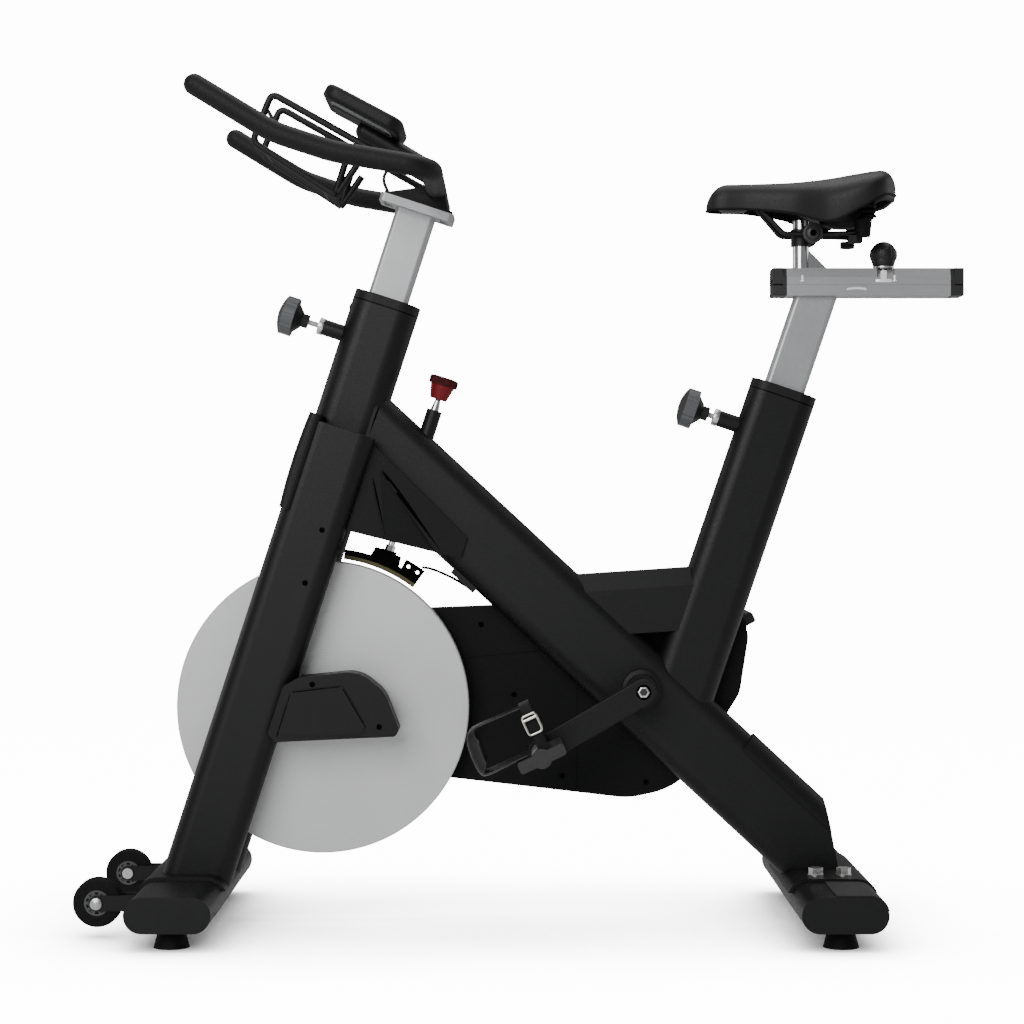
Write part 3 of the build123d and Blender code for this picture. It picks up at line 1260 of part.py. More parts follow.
def bar_path():
    """Bar axis from the left grip's end round the rear cross tube to the right grip's end."""
    left = [Vector(x, -BAR_HALF, z) for x, z in reversed(BAR_REACH)]
    left.append(Vector(BAR_X, -BAR_HALF, BAR_Z))
    right = [Vector(point.X, -point.Y, point.Z) for point in reversed(left)]
    radii = [BAR_BEND_R, BAR_BEND_R, BAR_CORNER_R, BAR_CORNER_R, BAR_BEND_R, BAR_BEND_R]
    return round_path(left + right, radii)


def handlebar():
    """Coated U-shaped bar with the welded shoe and neck that bolt to the post's plate."""
    bar = tube_along(bar_path(), BAR_R)
    for side in (-1, 1):
        tip_x, tip_z = BAR_REACH[-1]
        bar += Pos(tip_x, side * BAR_HALF, tip_z) * Sphere(BAR_R)
    plate_top = head_plane(BAR_PLATE_Z).offset(BAR_PLATE_THICK / 2)
    section = RectangleRounded(BAR_SHOE_LENGTH, BAR_SHOE_WIDTH, POST_ROUND)
    shoe = extrude(plate_top * section, amount=BAR_SHOE)
    neck_base = plate_top.offset(BAR_SHOE)
    spot = neck_base.to_local_coords(Vector(BAR_X, 0, BAR_Z))
    foot = neck_base * Rectangle(BAR_SHOE_LENGTH - 2 * POST_ROUND, BAR_SHOE_WIDTH - POST_ROUND)
    head = neck_base.offset(spot.Z) * Pos(spot.X, 0) * Rectangle(BAR_NECK, BAR_SHOE_WIDTH - POST_ROUND)
    return bar + shoe + loft([foot, head])


def wire(points, radii):
    return tube_along(round_path([Vector(*point) for point in points], radii), WIRE_R)


def rack_side(y):
    """One side loop of the rack: from the cross tube up and forward, down the front and back underneath."""
    top_run = atan2(RACK_FRONT_TOP[1] - BAR_Z, RACK_FRONT_TOP[0] - BAR_X)
    root = BAR_R + FIT_GAP
    start = (BAR_X + root * cos(top_run), y, BAR_Z + root * sin(top_run))
    corners = [(x, y, z) for x, z in (RACK_FRONT_TOP, RACK_FRONT_LOW, RACK_REAR_LOW, RACK_REAR_TOP)]
    return wire([start, *corners], [RACK_BEND_R] * 3)


def wire_rack():
    """Welded wire rack ahead of the cross tube."""
    rack = rack_side(-RACK_HALF) + rack_side(RACK_HALF)
    for share in (RACK_CROSS, 1 - RACK_CROSS):
        x = RACK_FRONT_LOW[0] + share * (RACK_REAR_LOW[0] - RACK_FRONT_LOW[0])
        z = RACK_FRONT_LOW[1] + share * (RACK_REAR_LOW[1] - RACK_FRONT_LOW[1])
        rack += rod(x, z, CROSS_WIRE_R, -RACK_HALF, RACK_HALF)
    front_x = RACK_FRONT_TOP[0] + RACK_CROSS * (RACK_FRONT_LOW[0] - RACK_FRONT_TOP[0])
    front_z = RACK_FRONT_TOP[1] + RACK_CROSS * (RACK_FRONT_LOW[1] - RACK_FRONT_TOP[1])
    rack += rod(front_x, front_z, CROSS_WIRE_R, -RACK_HALF, RACK_HALF)
    for y in (-RACK_INNER_HALF, RACK_INNER_HALF):
        ends = [Vector(x, y, z - CROSS_WIRE_R) for x, z in (RACK_FRONT_LOW, RACK_REAR_LOW)]
        rack += tube_along(Line(*ends), INNER_WIRE_R)
    return rack


def console_plane(shift, out):
    """Plane on the console: local x runs down towards the rider, the normal out of the display."""
    turn = radians(CONSOLE_TILT)
    down = Vector(cos(turn), 0, -sin(turn))
    normal = Vector(sin(turn), 0, cos(turn))
    middle = Vector(CONSOLE_X, 0, CONSOLE_Z)
    return Plane(origin=middle + down * shift + normal * out, x_dir=down, z_dir=normal)


def console_housing():
    """Moulded slab with rounded edges, a sunk window and a pocket for the button."""
    low = console_plane(0, -CONSOLE_THICK / 2)
    outline = RectangleRounded(CONSOLE_LENGTH, CONSOLE_WIDTH, CONSOLE_ROUND)
    body = extrude(low * outline, amount=CONSOLE_THICK)
    rims = [edge for edge in body.edges() if abs((edge @ 0 - edge @ 1).dot(low.z_dir)) < FIT_GAP]
    body = fillet(rims, CONSOLE_EDGE)
    top = CONSOLE_THICK / 2
    window = console_plane(DISPLAY_SHIFT, top - DISPLAY_SINK)
    pane = RectangleRounded(DISPLAY_LENGTH, DISPLAY_WIDTH, DISPLAY_ROUND)
    body -= extrude(window * pane, amount=CONSOLE_THICK)
    pocket = console_plane(BUTTON_SHIFT, top - BUTTON_DEPTH)
    length = BUTTON_LENGTH + 2 * RUN_GAP
    opening = RectangleRounded(length, BUTTON_WIDTH + 2 * RUN_GAP, BUTTON_ROUND + RUN_GAP)
    return body - extrude(pocket * opening, amount=CONSOLE_THICK)


def console_display():
    pane = console_plane(DISPLAY_SHIFT, CONSOLE_THICK / 2 - DISPLAY_SINK)
    length = DISPLAY_LENGTH - 2 * FIT_GAP
    section = RectangleRounded(length, DISPLAY_WIDTH - 2 * FIT_GAP, DISPLAY_ROUND - FIT_GAP)
    return extrude(pane * section, amount=DISPLAY_SINK - FIT_GAP)


def console_button():
    low = console_plane(BUTTON_SHIFT, CONSOLE_THICK / 2 - BUTTON_DEPTH + BUTTON_TRAVEL + RUN_GAP)
    height = BUTTON_DEPTH - BUTTON_TRAVEL - RUN_GAP + BUTTON_PROUD
    return extrude(low * RectangleRounded(BUTTON_LENGTH, BUTTON_WIDTH, BUTTON_ROUND), amount=height)


def console_arm():
    """Elbowed arm from the cross tube to a plate under the console."""
    under = -CONSOLE_THICK / 2
    end = console_plane(ARM_END_SHIFT, under - ARM_PLATE - ARM_R / 2).origin
    knee = Vector(BAR_X - ARM_KNEE_AHEAD, 0, BAR_Z + ARM_KNEE_RISE)
    arm = tube_along(round_path([Vector(BAR_X, 0, BAR_Z), knee, end], [ARM_BEND_R]), ARM_R)
    arm += Pos(end.X, end.Y, end.Z) * Sphere(ARM_R)
    plate_low = console_plane(0, under - ARM_PLATE)
    plate = RectangleRounded(ARM_PLATE_LENGTH, ARM_PLATE_WIDTH, ARM_PLATE_ROUND)
    arm += extrude(plate_low * plate, amount=ARM_PLATE)
    above = Rectangle(CONSOLE_LENGTH, CONSOLE_WIDTH)
    arm -= extrude(console_plane(0, under) * above, amount=CONSOLE_LENGTH)
    arm = arm - rod(BAR_X, BAR_Z, BAR_R + FIT_GAP, -BAR_HALF, BAR_HALF) - handlebar()
    return max(arm.solids(), key=lambda solid: solid.volume)


def cord_radii(points):
    """Largest arcs that a route's runs leave room for."""
    radii = []
    for before, here, after in zip(points, points[1:], points[2:]):
        first = here - before
        second = after - here
        half_turn = radians(first.get_angle(second)) / 2
        radii.append(LEAD_ARC_SHARE * min(first.length, second.length) / tan(half_turn))
    return radii


def sensor_cable():
    """Short lead from the console's arm down to the post's plate."""
    points = [Vector(x, 0, z) for x, z in LEAD_POINTS]
    lead = tube_along(round_path(points, cord_radii(points)), LEAD_R) - console_arm() - handlebar()
    return max(lead.solids(), key=lambda solid: solid.volume)


def bench_plane(x):
    """Plane across the bike at X; local x is the bike's Y, local y its Z."""
    return Plane(origin=(x, 0, 0), x_dir=(0, 1, 0), z_dir=(1, 0, 0))


def bar_along_x(section, x_from, x_to):
    return extrude(bench_plane(x_from) * section, amount=x_to - x_from)


def end_caps(low, high):
    """Two moulded caps that close the ends of a rail, rounded on their outer corners."""
    middle = Pos(0, (low + high) / 2) * RectangleRounded(RAIL_WIDTH, high - low, RAIL_HEIGHT / 6)
    front = bar_along_x(middle, RAIL_FRONT_X, RAIL_FRONT_X + RAIL_CAP)
    rear = bar_along_x(middle, RAIL_REAR_X - RAIL_CAP, RAIL_REAR_X)
    return front, rear


def seat_rail():
    """Lower rail on the seat post, with the tongue that the carriage runs on and its end caps."""
    top = RAIL_Z + RAIL_HEIGHT
    section = Pos(0, RAIL_Z + RAIL_HEIGHT / 2) * Rectangle(RAIL_WIDTH, RAIL_HEIGHT)
    section += Pos(0, top + RAIL_TONGUE_HEIGHT / 2) * Rectangle(RAIL_TONGUE, RAIL_TONGUE_HEIGHT)
    rail = bar_along_x(section, RAIL_FRONT_X + RAIL_CAP, RAIL_REAR_X - RAIL_CAP)
    return group(rail, *end_caps(RAIL_Z, top))


CARRIAGE_TOP_Z = RAIL_Z + RAIL_HEIGHT + CARRIAGE_HEIGHT


def seat_carriage():
    """Upper slide: bevelled channel over the rail's tongue, notched for the clamp screw and its plate."""
    low = RAIL_Z + RAIL_HEIGHT + FIT_GAP
    half = RAIL_WIDTH / 2
    bevel_z = CARRIAGE_TOP_Z - CARRIAGE_BEVEL
    right = [(half, low), (half, bevel_z), (half - CARRIAGE_BEVEL_IN, CARRIAGE_TOP_Z)]
    section = polygon(right + [(-y, z) for y, z in reversed(right)])
    tongue_room = RAIL_TONGUE_HEIGHT + 2 * RUN_GAP
    channel = Pos(0, low + tongue_room / 2) * Rectangle(RAIL_TONGUE + 2 * RUN_GAP, tongue_room)
    body = bar_along_x(section - channel, RAIL_FRONT_X + RAIL_CAP, RAIL_REAR_X - RAIL_CAP)
    floor = low + tongue_room + WALL
    notch_height = CARRIAGE_TOP_Z - floor
    notch = Pos(SEAT_KNOB_X, -half / 2, floor + notch_height / 2) * Box(NOTCH_WIDTH, half, notch_height)
    screw = Pos(SEAT_KNOB_X, 0, low) * extrude(Circle(SEAT_KNOB_SCREW_R + RUN_GAP), amount=CARRIAGE_HEIGHT)
    plate_width = NOTCH_WIDTH - 2 * CLAMP_PLATE_GAP
    plate_at = Pos(SEAT_KNOB_X, -half / 2, floor + CLAMP_PLATE / 2)
    plate = plate_at * Box(plate_width, half - CLAMP_PLATE_GAP, CLAMP_PLATE)
    tongue_way = bar_along_x(channel, RAIL_FRONT_X, RAIL_REAR_X)
    caps = [cap - tongue_way for cap in end_caps(low, CARRIAGE_TOP_Z)]
    return group(body - notch - screw, plate - screw, *caps)


def upright(x, y, radius, low, high):
    return Pos(x, y, low) * extrude(Circle(radius), amount=high - low)


def seat_clamp_knob():
    """Ball knob with a washer and a screw that pulls the clamp plate up."""
    low = CARRIAGE_TOP_Z + FIT_GAP
    screw_low = RAIL_Z + RAIL_HEIGHT + RAIL_TONGUE_HEIGHT + 2 * WALL
    center_z = low + SEAT_KNOB_WASHER + SEAT_KNOB_R * SEAT_KNOB_SEAT
    ball = Pos(SEAT_KNOB_X, 0, center_z) * Sphere(SEAT_KNOB_R)
    ball = split(ball, bisect_by=Plane(origin=(0, 0, low + SEAT_KNOB_WASHER)), keep=Keep.TOP)
    washer = upright(SEAT_KNOB_X, 0, SEAT_KNOB_WASHER_R, low, low + SEAT_KNOB_WASHER)
    return ball + washer + upright(SEAT_KNOB_X, 0, SEAT_KNOB_SCREW_R, screw_low, low + SEAT_KNOB_WASHER)


def saddle_stem():
    """Bright stub welded to the carriage, with a triangular gusset behind it."""
    stem = upright(STEM_X, 0, STEM_R, CARRIAGE_TOP_Z, STEM_TOP_Z)
    rear = STEM_X + STEM_R
    top = CARRIAGE_TOP_Z + GUSSET_RISE
    corners = [(STEM_X, CARRIAGE_TOP_Z), (rear + GUSSET_LENGTH, CARRIAGE_TOP_Z), (rear, top), (STEM_X, top)]
    return stem + slab(polygon(corners), -GUSSET_THICK / 2, GUSSET_THICK / 2)


def saddle_clamp():
    """Collar on the stem with the cross barrel that the knuckles turn on."""
    collar = upright(STEM_X, 0, CLAMP_COLLAR_R, CLAMP_LOW_Z, CLAMP_TOP_Z)
    collar += rod(CLAMP_X, CLAMP_Z, CLAMP_BARREL_R, -CLAMP_HALF, CLAMP_HALF)
    return collar - upright(STEM_X, 0, STEM_R + FIT_GAP, CLAMP_LOW_Z - CLAMP_R, CLAMP_TOP_Z + CLAMP_R)


def skirt_height(station):
    """How far the skirt hangs below the cushion's flat underside, less at the thin nose."""
    return min(SKIRT, SKIRT_SHARE * (station[3] - station[2]))


def saddle_under_z(station):
    """Height of the shell's underside at a saddle station."""
    return station[2] + skirt_height(station) - RUN_GAP - SHELL_THICK


def pad_section(station):
    """Cushion section: crowned top, drawn-in sides, and a skirt that hides the shell."""
    x, half, low, top = station
    height = top - low
    inner = half - SKIRT_SIDE
    foot = half - SKIRT_SIDE / 2
    inner_z = low + skirt_height(station)
    shoulder = half * PAD_SHOULDER
    shoulder_z = low + PAD_SHOULDER_RISE * height
    belly_z = low + PAD_BELLY_RISE * height
    right_side = ThreePointArc((foot, low), (half, belly_z), (shoulder, shoulder_z))
    crown = ThreePointArc((shoulder, shoulder_z), (0, top), (-shoulder, shoulder_z))
    left_side = ThreePointArc((-shoulder, shoulder_z), (-half, belly_z), (-foot, low))
    under = Polyline((-foot, low), (-inner, inner_z), (inner, inner_z), (foot, low))
    return bench_plane(x) * make_face([right_side, crown, left_side, under])


def saddle_pad():
    return loft([pad_section(station) for station in SADDLE_STATIONS])


def saddle_shell():
    """Moulded base under the cushion."""
    sections = []
    for station in SADDLE_STATIONS:
        half = station[1] - SKIRT_SIDE - SHELL_EDGE_GAP
        section = Pos(0, saddle_under_z(station) + SHELL_THICK / 2) * Rectangle(2 * half, SHELL_THICK)
        sections.append(bench_plane(station[0]) * section)
    return loft(sections)


def saddle_bumpers():
    """Two cups with bellows that carry the rear of the shell."""
    shell = saddle_shell()
    bumpers = []
    for side in (-1, 1):
        y = side * BUMPER_Y
        nut = extrude(hexagon(BUMPER_NUT_HEX), amount=BUMPER_NUT)
        nut = Pos(BUMPER_X, y, BUMPER_CUP_Z - BUMPER_NUT) * nut
        bumper = nut + upright(BUMPER_X, y, BUMPER_CUP_R, BUMPER_CUP_Z, BUMPER_FOLD_Z)
        core_r = BUMPER_R * BUMPER_CORE
        for fold in range(BUMPER_FOLDS):
            low = BUMPER_FOLD_Z + fold * BUMPER_PITCH
            disc_low = low + BUMPER_PITCH / 3
            bumper += upright(BUMPER_X, y, core_r, low, low + BUMPER_PITCH)
            ring = upright(BUMPER_X, y, BUMPER_R, disc_low, low + BUMPER_PITCH)
            bumper += fillet(ring.edges(), BUMPER_PITCH / 4)
        core_top = BUMPER_FOLD_Z + BUMPER_PITCH * BUMPER_FOLDS + SKIRT
        bumper += upright(BUMPER_X, y, core_r, BUMPER_FOLD_Z, core_top)
        bumper -= shell
        bumpers.append(min(bumper.solids(), key=lambda solid: solid.center().Z))
    return group(*bumpers)


def saddle_rails():
    """Two bent wires from the shell's nose to the bumpers, with the knuckles that grip them."""
    nose_z = SADDLE_STATIONS[2][2] + SKIRT
    cut = saddle_shell()
    bumpers = saddle_bumpers()
    sides = []
    for side in (-1, 1):
        y = side * RAILWIRE_Y
        points = [
            Vector(RAILWIRE_NOSE_X, side * RAILWIRE_NOSE_Y, nose_z),
            Vector(RAILWIRE_BEND_X, y, CLAMP_Z),
            Vector((CLAMP_X + RAILWIRE_REAR_X) / 2, y, CLAMP_Z),
            Vector(BUMPER_X, side * BUMPER_Y, CLAMP_Z),
        ]
        rail = tube_along(round_path(points, [RAILWIRE_BEND_R, RAILWIRE_BEND_R]), RAILWIRE_R)
        outer = CLAMP_HALF + FIT_GAP + KNUCKLE_WIDTH
        inner = CLAMP_HALF + FIT_GAP
        low, high = sorted((side * inner, side * outer))
        rail += rod(CLAMP_X, CLAMP_Z, CLAMP_R, low, high)
        bolt_low, bolt_high = sorted((side * outer, side * (outer + BUMPER_NUT / 2)))
        rail += slab(Pos(CLAMP_X, CLAMP_Z) * hexagon(SHOE_NUT_HEX), bolt_low, bolt_high)
        rail = rail - cut - bumpers
        sides.append(max(rail.solids(), key=lambda solid: solid.volume))
    return group(*sides)


NODES = {
    "front_stabiliser": front_stabiliser,
    "rear_stabiliser": rear_stabiliser,
    "stabiliser_plates": stabiliser_plates,
    "frame_bolts": frame_bolts,
    "left_fork_leg": left_fork_leg,
    "right_fork_leg": lambda: mirrored(left_fork_leg()),
    "head_tube": head_tube,
    "main_tube": main_tube,
    "seat_tube": seat_tube,
    "post_bushes": post_bushes,
    "bottom_bracket": bottom_bracket,
    "crotch_brace": crotch_brace,
    "fork_cover": fork_cover,
    "brake_cover": brake_cover,
    "flywheel_axle": flywheel_axle,
    "axle_cover": axle_cover,
    "belt_guard_inner": belt_guard_inner,
    "belt_guard_outer": belt_guard_outer,
    "drive_belt": drive_belt,
    "rear_tube_guard": rear_tube_guard,
    "leaf_spring": leaf_spring,
    "flywheel": flywheel,
    "crank_axle": crank_axle,
    "left_crank": lambda: crank(-1),
    "right_crank": lambda: crank(1),
    "drive_pulley": drive_pulley,
    "left_pedal": lambda: on_pedal(pedal_body(), -1),
    "right_pedal": lambda: on_pedal(pedal_body(), 1),
    "left_toe_cage": lambda: on_pedal(toe_cage_body(), -1),
    "right_toe_cage": lambda: on_pedal(toe_cage_body(), 1),
    "handlebar_post": handlebar_post,
    "handlebar": handlebar,
    "wire_rack": wire_rack,
    "console_arm": console_arm,
    "console_housing": console_housing,
    "console_display": console_display,
    "console_button": console_button,
    "sensor_cable": sensor_cable,
    "seat_post": seat_post,
    "seat_rail": seat_rail,
    "seat_carriage": seat_carriage,
    "seat_clamp_knob": seat_clamp_knob,
    "saddle_stem": saddle_stem,
    "saddle_clamp": saddle_clamp,
    "saddle_rails": saddle_rails,
    "saddle_bumpers": saddle_bumpers,
    "saddle_shell": saddle_shell,
    "saddle_pad": saddle_pad,
    "brake_rod": brake_rod,
    "brake_shoe": brake_shoe,
    "felt_pad": felt_pad,
    "resistance_knob": resistance_knob,
    "front_pin": lambda: pop_pin(head_plane(FRONT_PIN_Z), FRONT_PIN_REACH),
    "rear_pin": lambda: pop_pin(seat_plane(REAR_PIN_Z), REAR_PIN_REACH),
    "left_wheel": lambda: transport_wheel(-WHEEL_Y),
    "right_wheel": lambda: transport_wheel(WHEEL_Y),
    "front_left_foot": lambda: levelling_foot(FRONT_STAB_X, -FOOT_Y),
    "front_right_foot": lambda: levelling_foot(FRONT_STAB_X, FOOT_Y),
    "rear_left_foot": lambda: levelling_foot(REAR_STAB_X, -FOOT_Y),
    "rear_right_foot": lambda: levelling_foot(REAR_STAB_X, FOOT_Y),
}

os.makedirs("parts", exist_ok=True)
for name, build in NODES.items():
    export_step(build(), f"parts/{name}.step")
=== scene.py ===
import math

import bmesh
import bpy
import numpy as np
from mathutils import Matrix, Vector


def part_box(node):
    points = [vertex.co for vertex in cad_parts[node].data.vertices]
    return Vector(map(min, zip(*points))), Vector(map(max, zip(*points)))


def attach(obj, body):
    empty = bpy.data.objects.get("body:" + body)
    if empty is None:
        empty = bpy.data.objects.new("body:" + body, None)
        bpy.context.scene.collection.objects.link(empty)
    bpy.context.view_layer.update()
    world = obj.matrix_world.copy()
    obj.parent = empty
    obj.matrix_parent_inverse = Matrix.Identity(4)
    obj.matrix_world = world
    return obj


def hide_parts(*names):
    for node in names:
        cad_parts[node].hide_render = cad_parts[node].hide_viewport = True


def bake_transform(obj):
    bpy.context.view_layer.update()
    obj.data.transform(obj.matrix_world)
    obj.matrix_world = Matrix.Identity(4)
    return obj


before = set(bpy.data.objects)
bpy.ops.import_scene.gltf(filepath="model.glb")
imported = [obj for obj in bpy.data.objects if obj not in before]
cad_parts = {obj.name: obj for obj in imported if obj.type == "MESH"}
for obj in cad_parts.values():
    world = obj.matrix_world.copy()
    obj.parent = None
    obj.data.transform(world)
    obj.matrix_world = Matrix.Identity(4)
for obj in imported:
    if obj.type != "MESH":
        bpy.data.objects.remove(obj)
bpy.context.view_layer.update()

# Welded frame: flat-oval steel tubes and saddle plates, shot-blasted and powder coated black.
# The coat is baked on in one go after welding, so all of these share one finish.


def linear(code):
    """sRGB hex to linear colour: c / 12.92 below 0.04045, else ((c + 0.055) / 1.055) to the power 2.4."""
    srgb = np.array([int(code[i:i + 2], 16) for i in (1, 3, 5)]) / 255
    rgb = np.where(srgb <= 0.04045, srgb / 12.92, ((srgb + 0.055) / 1.055) ** 2.4)
    return (*rgb.tolist(), 1.0)


def add(tree, kind, settings=None, links=None):
    """Adds one node; settings name its inputs or properties, links name the outputs that feed its inputs."""
    made = tree.nodes.new(kind)
    for key, value in (settings or {}).items():
        if isinstance(key, int) or key in made.inputs:
            made.inputs[key].default_value = value
        else:
            setattr(made, key, value)
    for key, output in (links or {}).items():
        tree.links.new(output, made.inputs[key])
    return made


def finish(name, sockets):
    """A material with one Principled shader whose constant sockets are set, and its Object coordinates."""
    material = bpy.data.materials.new(name)
    material.use_nodes = True
    tree = material.node_tree
    tree.nodes.clear()
    shader = add(tree, "ShaderNodeBsdfPrincipled", sockets)
    add(tree, "ShaderNodeOutputMaterial", links={"Surface": shader.outputs["BSDF"]})
    place = add(tree, "ShaderNodeTexCoord").outputs["Object"]
    return material, tree, shader, place


def grained(tree, shader, place, tones, rough, patch_mm, grain_mm, depth_mm):
    """Two tones in soft patches, roughness between two values and a raised grain: noise at real sizes."""
    patch = add(tree, "ShaderNodeTexNoise", {"Scale": 1000 / patch_mm, "Detail": 3.0}, {"Vector": place})
    tone = add(tree, "ShaderNodeMix", {"data_type": "RGBA", 6: linear(tones[0]), 7: linear(tones[1])},
               {0: patch.outputs["Fac"]})
    tree.links.new(tone.outputs[2], shader.inputs["Base Color"])
    grain = add(tree, "ShaderNodeTexNoise", {"Scale": 1000 / grain_mm, "Detail": 2.0}, {"Vector": place})
    dull = add(tree, "ShaderNodeMapRange",
               {"From Min": 0.3, "From Max": 0.7, "To Min": rough[0], "To Max": rough[1]},
               {"Value": grain.outputs["Fac"]})
    tree.links.new(dull.outputs["Result"], shader.inputs["Roughness"])
    raised = add(tree, "ShaderNodeBump", {"Strength": 0.5, "Distance": depth_mm / 1000},
                 {"Height": grain.outputs["Fac"]})
    tree.links.new(raised.outputs["Normal"], shader.inputs["Normal"])
    return raised


def coated(name, sockets, *grain):
    """A finish with its grain and nothing more."""
    material, *nodes = finish(name, sockets)
    grained(*nodes, *grain)
    return material


def dielectric(name, ior, level, *grain):
    """A coated finish with no metal in it, by its index of refraction and its specular level."""
    return coated(name, {"IOR": ior, "Specular IOR Level": level}, *grain)


def dress(material, *nodes):
    """Gives CAD nodes their finish."""
    for name in nodes:
        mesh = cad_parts[name].data
        mesh.materials.clear()
        mesh.materials.append(material)


# Polyester powder coat: low gloss black; its orange peel is about 1 mm, drawn at 3 mm so that it shows.
powder_coat = dielectric("black_powder_coat", 1.5, 0.24, ("#070708", "#0c0c0d"), (0.40, 0.52), 40, 3, 0.10)
dress(powder_coat, "front_stabiliser", "rear_stabiliser", "stabiliser_plates", "left_fork_leg",
      "right_fork_leg", "head_tube", "main_tube", "seat_tube", "bottom_bracket", "crotch_brace",
      "console_arm", "saddle_clamp", "saddle_rails")

# Frame bolts and axles: cold-headed steel, zinc plated, which leaves a faint mottled bloom.
zinc = coated("zinc_plated_steel", {"Metallic": 1.0}, ("#b4b5b3", "#cfd0cd"), (0.24, 0.38), 6, 2, 0.05)
dress(zinc, "frame_bolts", "flywheel_axle")

# Step pad: a pipped rubber tread glued on the rear stabiliser's top, where a foot goes to mount the bike.


def skin(name, grid, material, wrap_rows=False, wrap_columns=False, caps=False, sharp=math.radians(40)):
    """Surface over a grid of points in metres, quad by quad; rows or columns may close on themselves, and
    the first and last row of a closed tube may be capped."""
    rows, columns = grid.shape[:2]
    ids = np.arange(rows * columns).reshape(rows, columns)
    ends = [ids[0, ::-1].tolist(), ids[-1].tolist()] if caps else []
    if wrap_columns:
        ids = np.hstack([ids, ids[:, :1]])
    if wrap_rows:
        ids = np.vstack([ids, ids[:1]])
    quads = np.stack([ids[:-1, :-1], ids[:-1, 1:], ids[1:, 1:], ids[1:, :-1]], -1).reshape(-1, 4)
    mesh = bpy.data.meshes.new(name)
    mesh.from_pydata(grid.reshape(-1, 3).tolist(), [], quads.tolist() + ends)
    shell = bmesh.new()
    shell.from_mesh(mesh)
    bmesh.ops.remove_doubles(shell, verts=shell.verts, dist=1e-6)
    bmesh.ops.dissolve_degenerate(shell, edges=shell.edges, dist=1e-7)
    bmesh.ops.recalc_face_normals(shell, faces=shell.faces)
    shell.to_mesh(mesh)
    shell.free()
    mesh.polygons.foreach_set("use_smooth", np.ones(len(mesh.polygons), bool))
    mesh.set_sharp_from_angle(angle=sharp)
    mesh.materials.append(material)
    piece = bpy.data.objects.new(name, mesh)
    bpy.context.scene.collection.objects.link(piece)
    return piece


def fix(piece, body):
    """The piece moves with a body."""
    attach(piece, body)
    return piece


def tube(name, grid, material, body, closed=False, caps=True):
    """Piece that rides on a body: each row of points is a closed section. Its ends are capped, or, if it is
    closed, its last row is joined to its first."""
    piece = skin(name, grid, material, wrap_rows=closed, wrap_columns=True, caps=caps and not closed)
    return fix(piece, body)


# Moulded tread rubber: dusty grey black; the fine pips are 1 mm apart, drawn at 3 mm so that they show.
tread_rubber = dielectric("tread_rubber", 1.52, 0.4, ("#19191a", "#242425"), (0.55, 0.75), 25, 3, 0.5)
STEP_X, STEP_Z, STEP_FROM, STEP_TO = 435.9, 51.0, 129.0, 248.0
STEP_AHEAD, STEP_FLAT, STEP_ROUND, STEP_THICK, STEP_WRAP = -12.0, 35.0, 25.3, 1.6, math.radians(78)
FLAT_ROWS, WRAP_ROWS = 12, 18
# Section from the stabiliser's crown line over its top and half way round its rear edge, out and back
lap = np.concatenate([np.linspace(STEP_AHEAD, STEP_FLAT, FLAT_ROWS), np.full(WRAP_ROWS, STEP_FLAT)])
bend = np.concatenate([np.zeros(FLAT_ROWS), np.linspace(0, STEP_WRAP, WRAP_ROWS)])
step_profile = np.concatenate([
    np.stack([lap + radius * np.sin(bend), radius * np.cos(bend)], -1)[::way]
    for radius, way in ((STEP_ROUND, 1), (STEP_ROUND + STEP_THICK, -1))])
# The sign of Y on each side of the bike, and the side's name
SIDES = ((-1, "left"), (1, "right"))
for side, where in SIDES:
    step_y = side * np.concatenate([[STEP_FROM], np.linspace(STEP_FROM + 0.2, STEP_TO - 0.2, 60), [STEP_TO]])
    step_grid = np.stack(np.broadcast_arrays(STEP_X + step_profile[None, :, 0], step_y[:, None],
                                             STEP_Z + step_profile[None, :, 1]), -1) / 1000
    tube(where + "_step_pad", step_grid, tread_rubber, "frame")

# Feet and transport wheels: moulded rubber feet on threaded stems, and polyurethane wheels that turn on
# pins. Both come matt from the mould, with a dusty bloom.
foot_rubber = dielectric("moulded_rubber", 1.52, 0.14, ("#060606", "#0b0b0b"), (0.62, 0.80), 18, 2.5, 0.12)
dress(foot_rubber, "left_wheel", "right_wheel", "front_left_foot", "front_right_foot", "rear_left_foot",
      "rear_right_foot", "drive_belt")


def around(count):
    """Angles of one full turn, in even steps."""
    return np.linspace(0, 2 * math.pi, count, endpoint=False)


def spun(radius, height, origin, axis, count=48):
    """Surface of revolution: radius and height along the axis for each row, turned about the axis at the
    origin; the radius may also differ round the turn. Millimetres in, metres out."""
    axis = np.asarray(axis, float) / np.linalg.norm(axis)
    first = np.cross(axis, (0.0, 1.0, 0.0) if abs(axis[1]) < 0.9 else (1.0, 0.0, 0.0))
    first /= np.linalg.norm(first)
    turn = around(count)
    ring = np.cos(turn)[:, None] * first + np.sin(turn)[:, None] * np.cross(axis, first)
    radius, height = np.asarray(radius, float), np.asarray(height, float)
    radius = radius[:, None] if radius.ndim == 1 else radius
    height = height[:, None] if height.ndim == 1 else height
    return (np.asarray(origin) + height[..., None] * axis + radius[..., None] * ring[None]) / 1000


def turned(name, radius, height, origin, axis, material, body, slot, closed=False, count=48):
    """Piece of revolution that rides on a body; a closed one has its last row joined to its first."""
    return tube(name, spun(radius, height, origin, axis, count), material, body, closed, caps=False)


